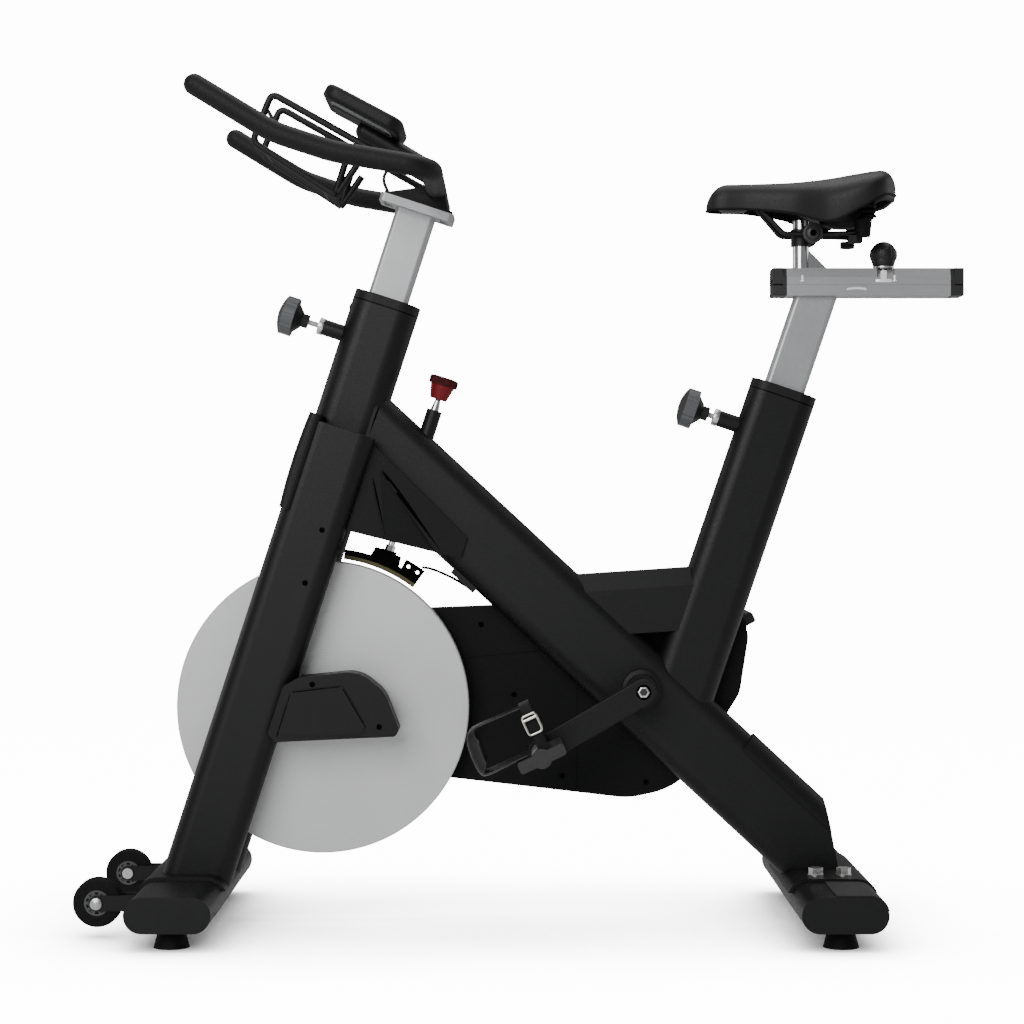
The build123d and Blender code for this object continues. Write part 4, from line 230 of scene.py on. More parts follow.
# Nylon hub ring let into each wheel's face: mid grey, with ten slots between its ribs.
hub_nylon = coated("natural_grey_nylon", {"IOR": 1.53}, ("#2e2f30", "#3c3d3e"), (0.40, 0.55), 6, 2, 0.05)
HUB_X, HUB_Z, HUB_Y, HUB_FACE = -607.6, 50.0, 134.0, 12.0
HUB_RIBS, HUB_SLOT = 10, 2.0
hub_turn = around(160)
hub_radius = [10.2, 10.4, 12.3, 12.5, 15.3, 15.5, 18.0, 18.2]
hub_height = np.array([-2.5, 0.6, 0.6, 0.6, 0.6, 0.6, 0.6, -2.5])[:, None] + 0 * hub_turn
hub_height[3:5] -= HUB_SLOT * (np.cos(HUB_RIBS * hub_turn) > -0.1)
for side, where in SIDES:
    for face in (-1, 1):
        hub_name = "{}_wheel_hub_{}".format(where, "outer" if face == side else "inner")
        hub_spot = (HUB_X, side * HUB_Y + face * HUB_FACE, HUB_Z)
        turned(hub_name, hub_radius, hub_height, hub_spot, (0, face, 0), hub_nylon, where + "_wheel",
               "foot_rubber", closed=True, count=len(hub_turn))

# Axle nuts: domed and plated, on the ends of the wheels' pins.
axle_nut = coated("plated_axle_nut", {"Metallic": 1.0}, ("#9fa0a2", "#c0c1c3"), (0.22, 0.40), 4, 2, 0.05)
NUT_FACE = 154.0
nut_radius = [0.0, 8.5, 8.5, 7.9, 6.2, 5.8, 3.0, 0.0]
nut_height = [-4.2, -4.2, 0.4, 1.0, 1.2, 2.2, 3.1, 3.3]
for side, where in SIDES:
    turned(where + "_axle_nut", nut_radius, nut_height, (HUB_X, side * NUT_FACE, HUB_Z), (0, side, 0),
           axle_nut, "frame", "zinc")

# Covers: injection moulded ABS shells with a spark-eroded skin, held by small black socket screws.
# Fork shield, fluted brake cover, axle cover, both belt guard shells and the cap on the main tube's end.
moulded_abs = dielectric("moulded_abs", 1.53, 0.22, ("#060607", "#0a0a0b"), (0.46, 0.60), 60, 2.5, 0.10)
dress(moulded_abs, "post_bushes", "fork_cover", "brake_cover", "axle_cover", "rear_tube_guard",
      "drive_pulley", "console_housing", "saddle_shell", "console_button", "left_crank", "right_crank")

# Belt guard: the same resin with a finer skin, in a darker black and with a lower specular level than the
# other covers: painted shade, for the shadow the guard sits in.
shaded_guard_abs = dielectric("belt_guard_painted_shade", 1.53, 0.12, ("#030303", "#050506"), (0.50, 0.62), 60, 2.5, 0.08)
dress(shaded_guard_abs, "belt_guard_inner", "belt_guard_outer")

# Blackened steel of the small screws: a thin oily oxide, with a soft gloss. The same black is also laid on
# as painted shade: strips in the brake cover's flutes and along the axle cover's panel step, a ring in each
# crank's recess and a hex in each knuckle bolt's socket.
black_steel_and_shade = dielectric("blackened_steel_and_painted_shade", 1.5, 0.02, ("#010101", "#030303"), (0.45, 0.60), 3, 2, 0.02)

SCREW_HEAD, SCREW_SOCKET, SCREW_PROUD, SCREW_SINK = 4.0, 2.1, 1.3, 0.4
screw_turn = around(48)
# Distance from the middle of a hexagon to its side, for each direction
hexagon = 1 / np.cos((screw_turn + math.pi / 6) % (math.pi / 3) - math.pi / 6)
screw_radius = np.array([1.0, 1.0, 0.93, 0.80, 0, 0, 0, 0])[:, None] * SCREW_HEAD + 0 * hexagon
screw_radius[4:7] = SCREW_SOCKET * np.array([1.12, 1.0, 1.0])[:, None] * hexagon
screw_height = np.array([-0.6, 0.75 * SCREW_PROUD, SCREW_PROUD * 0.95, SCREW_PROUD, SCREW_PROUD,
                         SCREW_PROUD - 0.2, SCREW_SINK, SCREW_SINK])
# Y of the belt guard's inner face, outer face and middle, and of a fork leg's face; X and Z of the guard's
# five bosses
GUARD_FACES, GUARD_MIDDLE, LEG_FACE = (30.0, 78.0), 50.0, 84.0
GUARD_BOSSES = ((-66.7, 434.7), (-17.6, 330.4), (53.9, 209.0), (179.1, 200.1), (291.0, 411.0))
# X, Y, Z of each screw and the way its head looks
screw_places = {
    "guard_screw": [((x, face, z), (0, math.copysign(1, face - GUARD_MIDDLE), 0)) for face in GUARD_FACES
                    for x, z in GUARD_BOSSES],
    "axle_cover_screw": [((-307.7, -93.0, 355.1), (0, -1, 0)), ((-211.5, -93.0, 294.1), (0, -1, 0))],
    "leg_screw": [((x, side * LEG_FACE, z), (0, side, 0)) for side in (-1, 1)
                  for x, z in ((-294.3, 576.8), (-318.8, 500.5))],
    "bush_screw": [((-258.9, 0.0, 906.8), (-0.951, 0, 0.309)), ((335.5, 0.0, 766.0), (-0.947, 0, 0.322))],
}
for kind, places in screw_places.items():
    for number, (spot, way) in enumerate(places, 1):
        turned("{}_{}".format(kind, number), screw_radius, screw_height, spot, way, black_steel_and_shade, "frame",
               "black_steel")

# Creases: black strips laid a little proud of the surfaces. In the brake cover's two flutes on each side and
# along the axle cover's panel step they are painted shade, where shade gathers in a groove or under a step;
# the main tube's weld line at the head tube and the post bushes' joint below their collars are dark joints.


def outer_skin(nodes, x, z, side):
    """Y of the outermost surface of some CAD nodes, in millimetres, at a place seen from one side."""
    start = Vector((x / 1000, side * OUTSIDE, z / 1000))
    hits = [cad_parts[node].ray_cast(start, Vector((0, -side, 0))) for node in nodes]
    return side * max(1000 * side * hit[1][1] for hit in hits if hit[0])


def normals(line):
    """Unit normal of a flat line at each point: its direction turned a quarter to the left."""
    run = np.gradient(line, axis=0)
    return np.stack([-run[:, 1], run[:, 0]], -1) / np.linalg.norm(run, axis=1)[:, None]


CREASE_ROWS, CREASE_PROUD, CREASE_SINK, OUTSIDE = 30, 0.4, 2.0, 0.3
FADED, EVEN = 0.12, 1.0
# Upper end, lower end, greatest half width in millimetres, its least share at the ends, and the nodes below
shade_and_joint_lines = [((-209.5, 663.0), (-126.0, 548.0), 3.2, FADED, ("brake_cover",)),
           ((-222.7, 652.0), (-205.0, 568.0), 1.2, FADED, ("brake_cover",)),
           ((-214.6, 759.0), (-229.8, 716.5), 1.3, FADED, ("head_tube", "main_tube")),
           ((-252.0, 918.6), (-162.8, 889.5), 0.7, EVEN, ("head_tube", "post_bushes")),
           ((332.6, 787.2), (421.5, 756.9), 0.7, EVEN, ("seat_tube", "post_bushes"))]
# The axle cover, on the left alone, has a raised panel with a step along its top and both sides; the strips
# along the step are painted shade
panel_step_shade_lines = [((-335.7, 344.0), (-267.5, 352.2), 0.7, EVEN, ("axle_cover",)),
               ((-263.3, 348.8), (-231.3, 294.1), 0.7, EVEN, ("axle_cover",)),
               ((-339.8, 340.0), (-358.7, 279.9), 0.7, EVEN, ("axle_cover",))]
crease_share = np.linspace(0, 1, CREASE_ROWS)
for side, where, lines in ((-1, "left", shade_and_joint_lines + panel_step_shade_lines), (1, "right", shade_and_joint_lines)):
    for number, (upper, lower, widest, least, nodes) in enumerate(lines, 1):
        line = np.array(upper) + crease_share[:, None] * (np.array(lower) - upper)
        out = normals(line) * (widest * np.clip(np.sin(math.pi * crease_share ** 0.6), least, 1))[:, None]
        edge = np.stack([line - out, line, line + out], 1)
        face = np.reshape([outer_skin(nodes, x, z, side) for x, z in edge.reshape(-1, 2)], edge.shape[:2])
        top = np.stack([edge[..., 0], face + side * CREASE_PROUD, edge[..., 1]], -1)
        loop = np.concatenate([top, top[:, 1:2] - (0, side * CREASE_SINK, 0)], 1) / 1000
        # Painted shade in the flutes and along the panel step, a dark joint line elsewhere
        tube("{}_crease_{}".format(where, number), loop, black_steel_and_shade, "frame")

# Flywheel: a heavy grey iron disc, faced on a lathe and clear coated, so fine rings run round its face.
# The driven pulley is bolted to its hub.
cast_iron, tree, shader, place = finish("turned_cast_iron", {"Metallic": 0.35, "Specular IOR Level": 0.4})
raised = grained(tree, shader, place, ("#bcbdbe", "#c9caca"), (0.34, 0.44), 120, 4, 0.02)
FLYWHEEL_AXIS = (-0.2989, 0.0, 0.316)
# Tool marks are 0.3 mm apart, drawn 4 mm apart so that they show; a wave of scale 1 has the period below
TOOL_MARK, WAVE_PERIOD = 0.004, 2 * math.pi / 20
centred = add(tree, "ShaderNodeMapping", {"Location": tuple(-c for c in FLYWHEEL_AXIS)}, {"Vector": place})
rings = add(tree, "ShaderNodeTexWave",
            {"wave_type": "RINGS", "rings_direction": "Y", "Scale": WAVE_PERIOD / TOOL_MARK,
             "Distortion": 1.6, "Detail": 3.0, "Detail Scale": 0.6}, {"Vector": centred.outputs["Vector"]})
marks = add(tree, "ShaderNodeMix", {"data_type": "RGBA", "blend_type": "MULTIPLY", 0: 0.06},
            {6: shader.inputs["Base Color"].links[0].from_socket, 7: rings.outputs["Color"]})
tree.links.new(marks.outputs[2], shader.inputs["Base Color"])
tree.links.new(rings.outputs["Fac"], raised.inputs["Height"])
dress(cast_iron, "flywheel")

# Brake: a felt pad glued to a pressed steel shoe, hung on a leaf spring and pushed down by a chromed rod;
# the red knob on the rod's top turns to set the load and is pushed to stop the wheel.
chrome = coated("bright_chrome", {"Metallic": 1.0}, ("#d4d5d7", "#dedfe0"), (0.06, 0.12), 30, 3, 0.01)
dress(chrome, "saddle_stem", "brake_rod")
# Pressed wool felt: fibres laid flat, tan, with a soft edge.
felt = coated("pressed_felt", {"IOR": 1.5, "Sheen Weight": 0.5},
              ("#38341f", "#4b4628"), (0.85, 0.95), 8, 2, 0.4)
dress(felt, "felt_pad")

# Leaf spring: a blued steel strip, screwed under the main tube. It draws the shoe back up.


def smooth_rows(points, count):
    """Catmull-Rom curve through the rows of an array: on each stretch the cubic whose end slopes are
    half the step between the neighbouring rows."""
    points = np.asarray(points, float)
    padded = np.concatenate([2 * points[:1] - points[1:2], points, 2 * points[-1:] - points[-2:-1]])
    spot = np.linspace(0, len(points) - 1, count)
    left = np.minimum(spot.astype(int), len(points) - 2)
    t = (spot - left).reshape((-1,) + (1,) * (points.ndim - 1))
    a, b, c, d = (padded[left + step] for step in range(4))
    bend, swing = 2 * a - 5 * b + 4 * c - d, 3 * b - a - 3 * c + d
    return 0.5 * (2 * b + (c - a) * t + bend * t ** 2 + swing * t ** 3)


def round_profile(radius, count):
    """Circle as pairs of numbers."""
    return radius * np.stack([np.cos(around(count)), np.sin(around(count))], -1)


def swept(line, profile, depth=0.0):
    """A profile carried square along a flat line; the middle measure is its depth off the line's plane."""
    flat = line[:, None] + profile[None, :, :1] * normals(line)[:, None]
    return np.stack([flat[..., 0], np.broadcast_to(depth + profile[:, 1], flat.shape[:2]), flat[..., 1]], -1)


SPRING_THICK, SPRING_HALF, SPRING_ROWS = 3.4, 8.5, 40
# From the screw under the main tube to the shoe: X and Z
spring_route = [(-79.0, 485.5), (-88.0, 493.0), (-112.0, 507.0), (-138.0, 518.0), (-153.5, 521.0)]
spring_profile = np.array([(-0.5, -1), (-0.5, 0), (-0.5, 1), (0.5, 1), (0.5, 0), (0.5, -1)])
spring_profile = spring_profile * (SPRING_THICK, SPRING_HALF)
spring_grid = swept(smooth_rows(spring_route, SPRING_ROWS), spring_profile) / 1000
spring = skin("leaf_spring_strip", spring_grid, black_steel_and_shade, wrap_columns=True, caps=True)
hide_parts("leaf_spring")
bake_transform(spring)

# Shoe's bridge: the raised middle of the holder, over the pad's arc, where the rod's lock nut bears.
BRIDGE_FROM, BRIDGE_TO, BRIDGE_LOW, BRIDGE_TOP, BRIDGE_HALF = 61.5, 72.8, 231.0, 247.5, 12.5
bridge_turn = np.radians(np.linspace(BRIDGE_FROM, BRIDGE_TO, 24))[:, None]
# Section with softened corners: reach from the flywheel's axis, and Y
bridge_reach = np.array([BRIDGE_LOW, BRIDGE_TOP - 2.5, BRIDGE_TOP - 0.7, BRIDGE_TOP, BRIDGE_TOP,
                         BRIDGE_TOP - 0.7, BRIDGE_TOP - 2.5, BRIDGE_LOW])
bridge_y = BRIDGE_HALF * np.array([-1, -1, -0.95, -0.83, 0.83, 0.95, 1, 1])
# The ends slope: the top is shorter than the foot by this share
BRIDGE_SLOPE = 0.18
bridge_rise = (bridge_reach - BRIDGE_LOW) / (BRIDGE_TOP - BRIDGE_LOW)
bridge_lean = bridge_turn + BRIDGE_SLOPE * bridge_rise * (bridge_turn.mean() - bridge_turn)
bridge_grid = np.stack([1000 * FLYWHEEL_AXIS[0] + bridge_reach * np.cos(bridge_lean),
                        np.broadcast_to(bridge_y, bridge_lean.shape),
                        1000 * FLYWHEEL_AXIS[2] + bridge_reach * np.sin(bridge_lean)], -1) / 1000
dress(black_steel_and_shade, "brake_shoe")
tube("brake_shoe_bridge", bridge_grid, black_steel_and_shade, "brake")

# Resistance knob: red ABS, half matt
red_abs = dielectric("red_gloss_abs", 1.53, 0.22, ("#5f080d", "#6b0a10"), (0.42, 0.52), 20, 3, 0.02)
dress(red_abs, "resistance_knob")
# Knob's knurled top band: the same red, darker, with diamond teeth 4 mm apart
knob_band_red = dielectric("dark_red_abs", 1.53, 0.12, ("#260304", "#3c0608"), (0.45, 0.60), 6, 2, 0.05)
KNOB_LEAN, KNOB_RISE = math.radians(17.8), 17.0
KNOB_AXIS = np.array([math.sin(KNOB_LEAN), 0.0, math.cos(KNOB_LEAN)])
KNOB_FOOT = np.array([-134.9, 0.0, 752.6]) + KNOB_RISE * KNOB_AXIS
KNOB_TEETH, TEETH_RISE, TEETH_TWIST = 32, 0.5, 9.0
BAND_RADIUS, BAND_LOW, BAND_TALL = 21.3, 21.4, 10.2
band_rows = np.linspace(0, 1, 13)[:, None]
band_turn = around(256)
lean_left, lean_right = (np.cos(KNOB_TEETH * band_turn + way * TEETH_TWIST * band_rows) for way in (1, -1))
band_teeth = BAND_RADIUS + TEETH_RISE * lean_left * lean_right * np.sin(math.pi * band_rows) ** 0.3
# A plain row below the teeth, and three above them that close the top
plain_rows = np.array([[19.6], [20.2], [17.0], [0.0]]) + 0 * band_turn
band_radius = np.vstack([plain_rows[:1], band_teeth, plain_rows[1:]])
band_height = np.concatenate([[21.2], BAND_LOW + BAND_TALL * band_rows[:, 0], [32.9, 33.6, 33.9]])
turned("resistance_knob_band", band_radius, band_height, KNOB_FOOT, KNOB_AXIS, knob_band_red,
       "resistance_knob", "red_plastic", count=len(band_turn))

# Pedals' toe cages: nylon bands bent round the shoe's tip, riveted to the pedal's front rail, each with a
# woven strap over the instep that is pulled tight through a bent steel wire buckle on the outer side.
PEDAL_TIP = math.radians(25)


def on_pedal(points, axis, side):
    """Pedal millimetres to the bike's metres: toe tipped down about the pedal axis; side +1 mirrors the left
    pedal's piece to the right."""
    x, y, z = points[..., 0], points[..., 1], points[..., 2]
    along = x * math.cos(PEDAL_TIP) - z * math.sin(PEDAL_TIP)
    up = x * math.sin(PEDAL_TIP) + z * math.cos(PEDAL_TIP)
    return np.stack([along + axis[0], -side * y, up + axis[1]], -1) / 1000


# Glass-filled nylon: matt with a faint flow mottle from the mould.
cage_nylon = dielectric("glass_filled_nylon", 1.53, 0.4, ("#0c0c0d", "#141415"), (0.40, 0.55), 14, 2.5, 0.10)
PEDAL_MIDDLE = -149.0
CAGE_ROWS, CAGE_WALL, CAGE_DEEP = 90, 0.0026, 17.0
# Cage line from the rivets under the pedal's front rail, round the toe and back over it: ahead, up
cage_line = smooth_rows([(-14, 10), (-50, 9), (-78, 8.5), (-87.5, 13), (-90, 28), (-89, 47), (-85.5, 64),
                         (-76, 74.5), (-60, 77), (-22, 76), (8, 75)], CAGE_ROWS)
cage_in = -normals(cage_line)
cage_share = np.linspace(0, 1, CAGE_ROWS)[:, None]
cage_wrap = CAGE_DEEP * np.interp(cage_share, [0, 0.28, 0.38, 0.62, 0.74, 1],
                                  [0.05, 0.25, 1, 1, 0.16, 0.10])
cage_half = np.interp(cage_share, [0, 0.62, 0.78, 1], [32, 32, 14, 13])
cage_across = np.linspace(-1, 1, 41)[None]
cage_bend = np.abs(cage_across) ** 3.2 * cage_wrap
cage_grid = np.stack([cage_line[:, :1] + cage_in[:, :1] * cage_bend, PEDAL_MIDDLE + cage_half * cage_across,
                      cage_line[:, 1:] + cage_in[:, 1:] * cage_bend], -1)

# Woven polypropylene webbing: dull black. Its weave is too fine to show, so the face is left smooth.
webbing = coated("woven_strap", {"IOR": 1.49, "Specular IOR Level": 0.2, "Sheen Weight": 0.1},
                 ("#070708", "#0d0d0e"), (0.70, 0.85), 6, 2, 0.0)
STRAP_AHEAD, STRAP_ROWS = 8.0, 120
strap_half_line = [(-42, -1), (-42.6, 18), (-42, 40), (-37, 62), (-24, 75), (-10, 78.4), (0, 78.8)]
strap_line = smooth_rows(strap_half_line + [(-y, z) for y, z in strap_half_line[-2::-1]], STRAP_ROWS)
# Strap section: flat, 15 mm by 2 mm, with softly rounded edges
strap_profile = np.array([(-1, -6.8), (-1, 0), (-1, 6.8), (-0.5, 7.4), (0.5, 7.4),
                          (1, 6.8), (1, 0), (1, -6.8), (0.5, -7.4), (-0.5, -7.4)])
# The strap's line lies across the pedal, so the swept measures are Y, X and Z
strap_grid = swept(strap_line, strap_profile, STRAP_AHEAD)[..., [1, 0, 2]] + (0, PEDAL_MIDDLE, 0)

# Buckle: bent wire, nickel plated, bright with a faint yellow cast, and a rolled tube that grips the strap.


def rounded(turn, corner, length, width):
    """Rounded rectangle: cosine and sine raised to a small power, kept with their signs."""
    wave = np.stack([np.cos(turn), np.sin(turn)], -1)
    return np.sign(wave) * np.abs(wave) ** corner * (length / 2, width / 2)


nickel = coated("nickel_plated_wire", {"Metallic": 1.0}, ("#c4c1b9", "#dcdad3"), (0.14, 0.26), 5, 2, 0.03)
BUCKLE_WIDTH, BUCKLE_HEIGHT, BUCKLE_UP, BUCKLE_PROUD = 20.5, 28.0, 50.0, 3.2
WIRE_RADIUS, WIRE_CORNER, ROLLER_RADIUS, ROLLER_RISE = 1.7, 0.35, 2.4, 8.0
buckle_y = PEDAL_MIDDLE + strap_half_line[1][0] - BUCKLE_PROUD
buckle_line = rounded(np.linspace(0, 2 * math.pi, 97), WIRE_CORNER, BUCKLE_WIDTH, BUCKLE_HEIGHT)
buckle_grid = swept(buckle_line, round_profile(WIRE_RADIUS, 12), buckle_y)[:-1] + (STRAP_AHEAD, 0, BUCKLE_UP)
roller_x = np.linspace(-BUCKLE_WIDTH / 2, BUCKLE_WIDTH / 2, 25)[:, None]
roller = round_profile(ROLLER_RADIUS, 16)[None]
roller_grid = np.stack(np.broadcast_arrays(STRAP_AHEAD + roller_x, buckle_y + roller[..., 0],
                                           BUCKLE_UP + ROLLER_RISE + roller[..., 1]), -1)

# Pedal body: glass-filled nylon rails in a lighter grey than the toe cages, round a grey anodised barrel.
# The same grey is the knuckle bolts' colour and is laid as painted shade in the crank bolts' sockets.
dark_grey_and_socket_shade = dielectric("dark_grey_nylon_and_socket_shade", 1.53, 0.35, ("#1b1b1c", "#2a2a2b"), (0.36, 0.50), 14, 2.5, 0.10)
dress(dark_grey_and_socket_shade, "left_pedal", "right_pedal")
anodised = coated("grey_anodised_barrel", {"Metallic": 0.7},
                  ("#8e8f90", "#a5a6a7"), (0.24, 0.34), 10, 2, 0.03)
BARREL_FROM, BARREL_TO = 112.5, 186.0
barrel_radius = [9.0, 13.6, 14.4, 14.4, 13.6, 9.0]
barrel_height = np.array([BARREL_FROM] * 2 + [BARREL_FROM + 1.0, BARREL_TO - 1.0] + [BARREL_TO] * 2)
# Each pedal's axis at rest: X and Z
for side, where, axis in ((-1, "left", (21.13, 259.26)), (1, "right", (315.87, 428.74))):
    body = where + "_pedal"
    turned(where + "_pedal_barrel", barrel_radius, barrel_height, (axis[0], 0, axis[1]), (0, side, 0),
           anodised, body, "zinc", closed=True)
    cage = skin(where + "_cage_band", on_pedal(cage_grid, axis, side), cage_nylon)
    wall = cage.modifiers.new("wall", "SOLIDIFY")
    wall.thickness = CAGE_WALL
    wall.offset = 0.0
    fix(cage, body)
    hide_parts(where + "_toe_cage")
    tube(where + "_toe_strap", on_pedal(strap_grid, axis, side), webbing, body)
    tube(where + "_buckle_ring", on_pedal(buckle_grid, axis, side), nickel, body, closed=True)
    tube(where + "_buckle_roller", on_pedal(roller_grid, axis, side), nickel, body)

# Posts, rail and carriage: square steel tube in satin silver paint over a brushed ground. The rail's and the
# carriage's ends are closed by black moulded caps.
silver_look = ({"Metallic": 0.45}, ("#97989a", "#a3a4a5"), (0.30, 0.40), 50, 2, 0.03)
dress(coated("satin_silver_steel", *silver_look), "handlebar_post", "seat_post")


def overlay(material, direction, low, high, tone, rough, metallic):
    """Another finish where a point's distance along a direction, in metres, lies between two values: a mask
    that is 1 there mixes colour, roughness and metallic."""
    tree = material.node_tree
    place = tree.nodes["Texture Coordinate"].outputs["Object"]
    reach = add(tree, "ShaderNodeVectorMath", {"operation": "DOT_PRODUCT", 1: direction}, {0: place})
    mask = add(tree, "ShaderNodeMath", {"operation": "COMPARE", 1: (low + high) / 2, 2: (high - low) / 2},
               {0: reach.outputs["Value"]}).outputs[0]
    for socket, value, kind, ports in (("Base Color", linear(tone), "RGBA", (6, 7, 2)),
                                       ("Roughness", rough, "FLOAT", (2, 3, 0)),
                                       ("Metallic", metallic, "FLOAT", (2, 3, 0))):
        entry = tree.nodes["Principled BSDF"].inputs[socket]
        under = {ports[0]: entry.links[0].from_socket} if entry.is_linked else {}
        settings = {"data_type": kind, ports[1]: value}
        if not under:
            settings[ports[0]] = entry.default_value
        mixed = add(tree, "ShaderNodeMix", settings, {0: mask, **under})
        tree.links.new(mixed.outputs[ports[2]], entry)


capped_silver = coated("capped_satin_silver", *silver_look)
# X in metres where the front caps end and the rear caps begin
CAP_FRONT, CAP_REAR = 0.3825, 0.6228
for low, high in ((0.0, CAP_FRONT), (CAP_REAR, 1.0)):
    overlay(capped_silver, (1, 0, 0), low, high, "#0b0b0c", 0.5, 0.0)
dress(capped_silver, "seat_rail", "seat_carriage")

# Handlebar: steel tube dipped in a soft vinyl coat, which leaves rounded ends and a fine stipple.
grip_coat = dielectric("dipped_vinyl_coat", 1.52, 0.22, ("#060607", "#0b0b0c"), (0.52, 0.66), 30, 2.5, 0.25)
dress(grip_coat, "handlebar")

# Rack ahead of the bar: steel wire bent into two side loops with a U at the rear, joined by cross wires and
# four thinner floor wires, welded and powder coated as one.


def bent_line(points, radius, steps=8):
    """Line through points, each corner turned on a parabola that leaves and meets its runs at a radius."""
    points = np.asarray(points, float)
    before, corner, after = points[:-2], points[1:-1], points[2:]
    leave, meet = (corner + radius * (end - corner) / np.linalg.norm(end - corner, axis=1, keepdims=True)
                   for end in (before, after))
    t = np.linspace(0, 1, steps)[None, :, None]
    turn = (1 - t) ** 2 * leave[:, None] + 2 * t * (1 - t) * corner[:, None] + t ** 2 * meet[:, None]
    return np.concatenate([points[:1], turn.reshape(-1, 2), points[-1:]])


def wire_rod(name, line, y, radius, material, body, slot):
    """Round wire that rides on a body, along a line in an upright plane at one Y."""
    return tube(name, swept(line, round_profile(radius, 16), y) / 1000, material, body)


RACK_HALF, RACK_WIRE, RACK_THIN, RACK_BEND = 62.0, 5.2, 3.0, 12.0
rack_top, rack_front, rack_rear = np.array([(-369.0, 1210.0), (-397.0, 1140.0), (-277.0, 1062.0)])
rack_look = (powder_coat, "handlebar", "frame_paint")
loop_line = bent_line([(-146.0, 1084.0), rack_top, rack_front, rack_rear], RACK_BEND)
fork_line = bent_line([(-262.0, 1112.0), (-279.5, 1057.0), (-246.0, 1106.0)], RACK_BEND)
for side, where in SIDES:
    loop = wire_rod(where + "_rack_loop", loop_line, side * RACK_HALF, RACK_WIRE, *rack_look)
    wire_rod(where + "_rack_fork", fork_line, side * (RACK_HALF - RACK_WIRE), RACK_WIRE, *rack_look)
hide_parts("wire_rack")
floor_line = np.linspace(rack_front, rack_rear, 6)
for number, floor_y in enumerate(np.linspace(-37.0, 37.0, 4), 1):
    wire_rod("rack_floor_wire_{}".format(number), floor_line, floor_y, RACK_THIN, *rack_look)
cross_radius, cross_height = [0, RACK_THIN, RACK_THIN, 0], RACK_HALF * np.array([-1, -1, 1, 1])
for number, (near, far, share) in enumerate(((rack_front, rack_rear, 0.15), (rack_front, rack_rear, 0.85),
                                             (rack_top, rack_front, 0.3)), 1):
    cross_x, cross_z = near + share * (far - near)
    turned("rack_cross_wire_{}".format(number), cross_radius, cross_height, (cross_x, 0, cross_z), (0, 1, 0),
           *rack_look, count=16)

# Console: a display under a clear window in an ABS case, with its lead to the frame.
screen = coated("display_glass", {"IOR": 1.5, "Coat Weight": 0.6, "Coat Roughness": 0.03},
                ("#3a423c", "#444c45"), (0.12, 0.18), 30, 3, 0.0)
dress(screen, "console_display")

# Console's back plate: a pale moulded cover let into the case's underside, which shows as a light edge.
plate_grey = coated("pale_grey_abs", {"IOR": 1.53}, ("#5d5e5f", "#6d6e6f"), (0.40, 0.52), 20, 2.5, 0.05)
CONSOLE_SPOT, CONSOLE_TIP = np.array([-236.5, 0.0, 1187.5]), math.radians(28)
console_down = np.array([math.cos(CONSOLE_TIP), 0.0, -math.sin(CONSOLE_TIP)])
console_up = np.array([math.sin(CONSOLE_TIP), 0.0, math.cos(CONSOLE_TIP)])
BACK_LENGTH, BACK_WIDTH, PLATE_CORNER = 100.0, 124.0, 0.3
back_x, back_y = rounded(around(96), PLATE_CORNER, BACK_LENGTH, BACK_WIDTH).T
back_share = np.array([0.0, 0.985, 1.0, 1.0, 0.985, 0.0])[:, None]
back_low = np.array([-10.0, -10.0, -10.4, -11.3, -11.6, -11.6])[:, None]
back_grid = (CONSOLE_SPOT + (back_share * back_x)[..., None] * console_down
             + (back_share * back_y)[..., None] * (0, 1, 0) + back_low[..., None] * console_up) / 1000
tube("console_back_plate", back_grid, plate_grey, "handlebar", caps=False)

# Sensor lead: a soft PVC cable from the console's arm down to the post's plate, seen from end to end.
pvc = dielectric("soft_pvc_sheath", 1.53, 0.4, ("#0e0e0f", "#171718"), (0.42, 0.55), 10, 2, 0.03)
LEAD_DIAMETER = 0.005
lead_route = [(-0.197, 0.0, 1.125), (-0.203, 0.0, 1.110), (-0.211, 0.0, 1.097), (-0.208, 0.0, 1.083),
              (-0.200, 0.0, 1.069)]
lead_curve = bpy.data.curves.new("sensor_lead", "CURVE")
lead_curve.dimensions = "3D"
lead_spline = lead_curve.splines.new("NURBS")
lead_spline.points.add(len(lead_route) - 1)
lead_spline.points.foreach_set("co", np.hstack([lead_route, np.ones((len(lead_route), 1))]).ravel())
lead_spline.order_u = 3
lead_spline.use_endpoint_u = True
lead_spline.resolution_u = 12
lead_curve.bevel_depth = LEAD_DIAMETER / 2
lead_curve.bevel_resolution = 6
lead_curve.use_fill_caps = True
lead_curve.materials.append(pvc)
lead = bpy.data.objects.new("sensor_lead", lead_curve)
bpy.context.scene.collection.objects.link(lead)
fix(lead, "handlebar")
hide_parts("sensor_cable")

# Pop pins: a turned steel pin in a welded barrel; its plastic knob has a grey scored rim, a darker domed
# face and a black coned back with a hex collar, and a plated ring closes the barrel.


def pin_knob_finish(name, node, foot_x, lean, pin_z, knob_from):
    """Finish by the distance along a pin that is square to a leaning tube: cone, rim and dome differ."""
    lean = math.radians(lean)
    way = np.array([-math.cos(lean), 0.0, math.sin(lean)])
    root = np.array([foot_x + math.tan(lean) * pin_z, 0.0, pin_z])
    start = float(root @ way) + knob_from
    material = dielectric(name, 1.53, 0.3, ("#8d8e8f", "#a2a3a4"), (0.30, 0.42), 8, 2, 0.03)
    for low, high, tone, rough in ((-CONE_REACH, 0, "#0a0a0b", 0.5), (0, RIM_THICK, "#4c4d4f", 0.45),
                                   (RIM_THICK, DOME_REACH, "#232425", 0.5)):
        overlay(material, tuple(way), (start + low) / 1000, (start + high) / 1000, tone, rough, 0.0)
    dress(material, node)
    return root, way


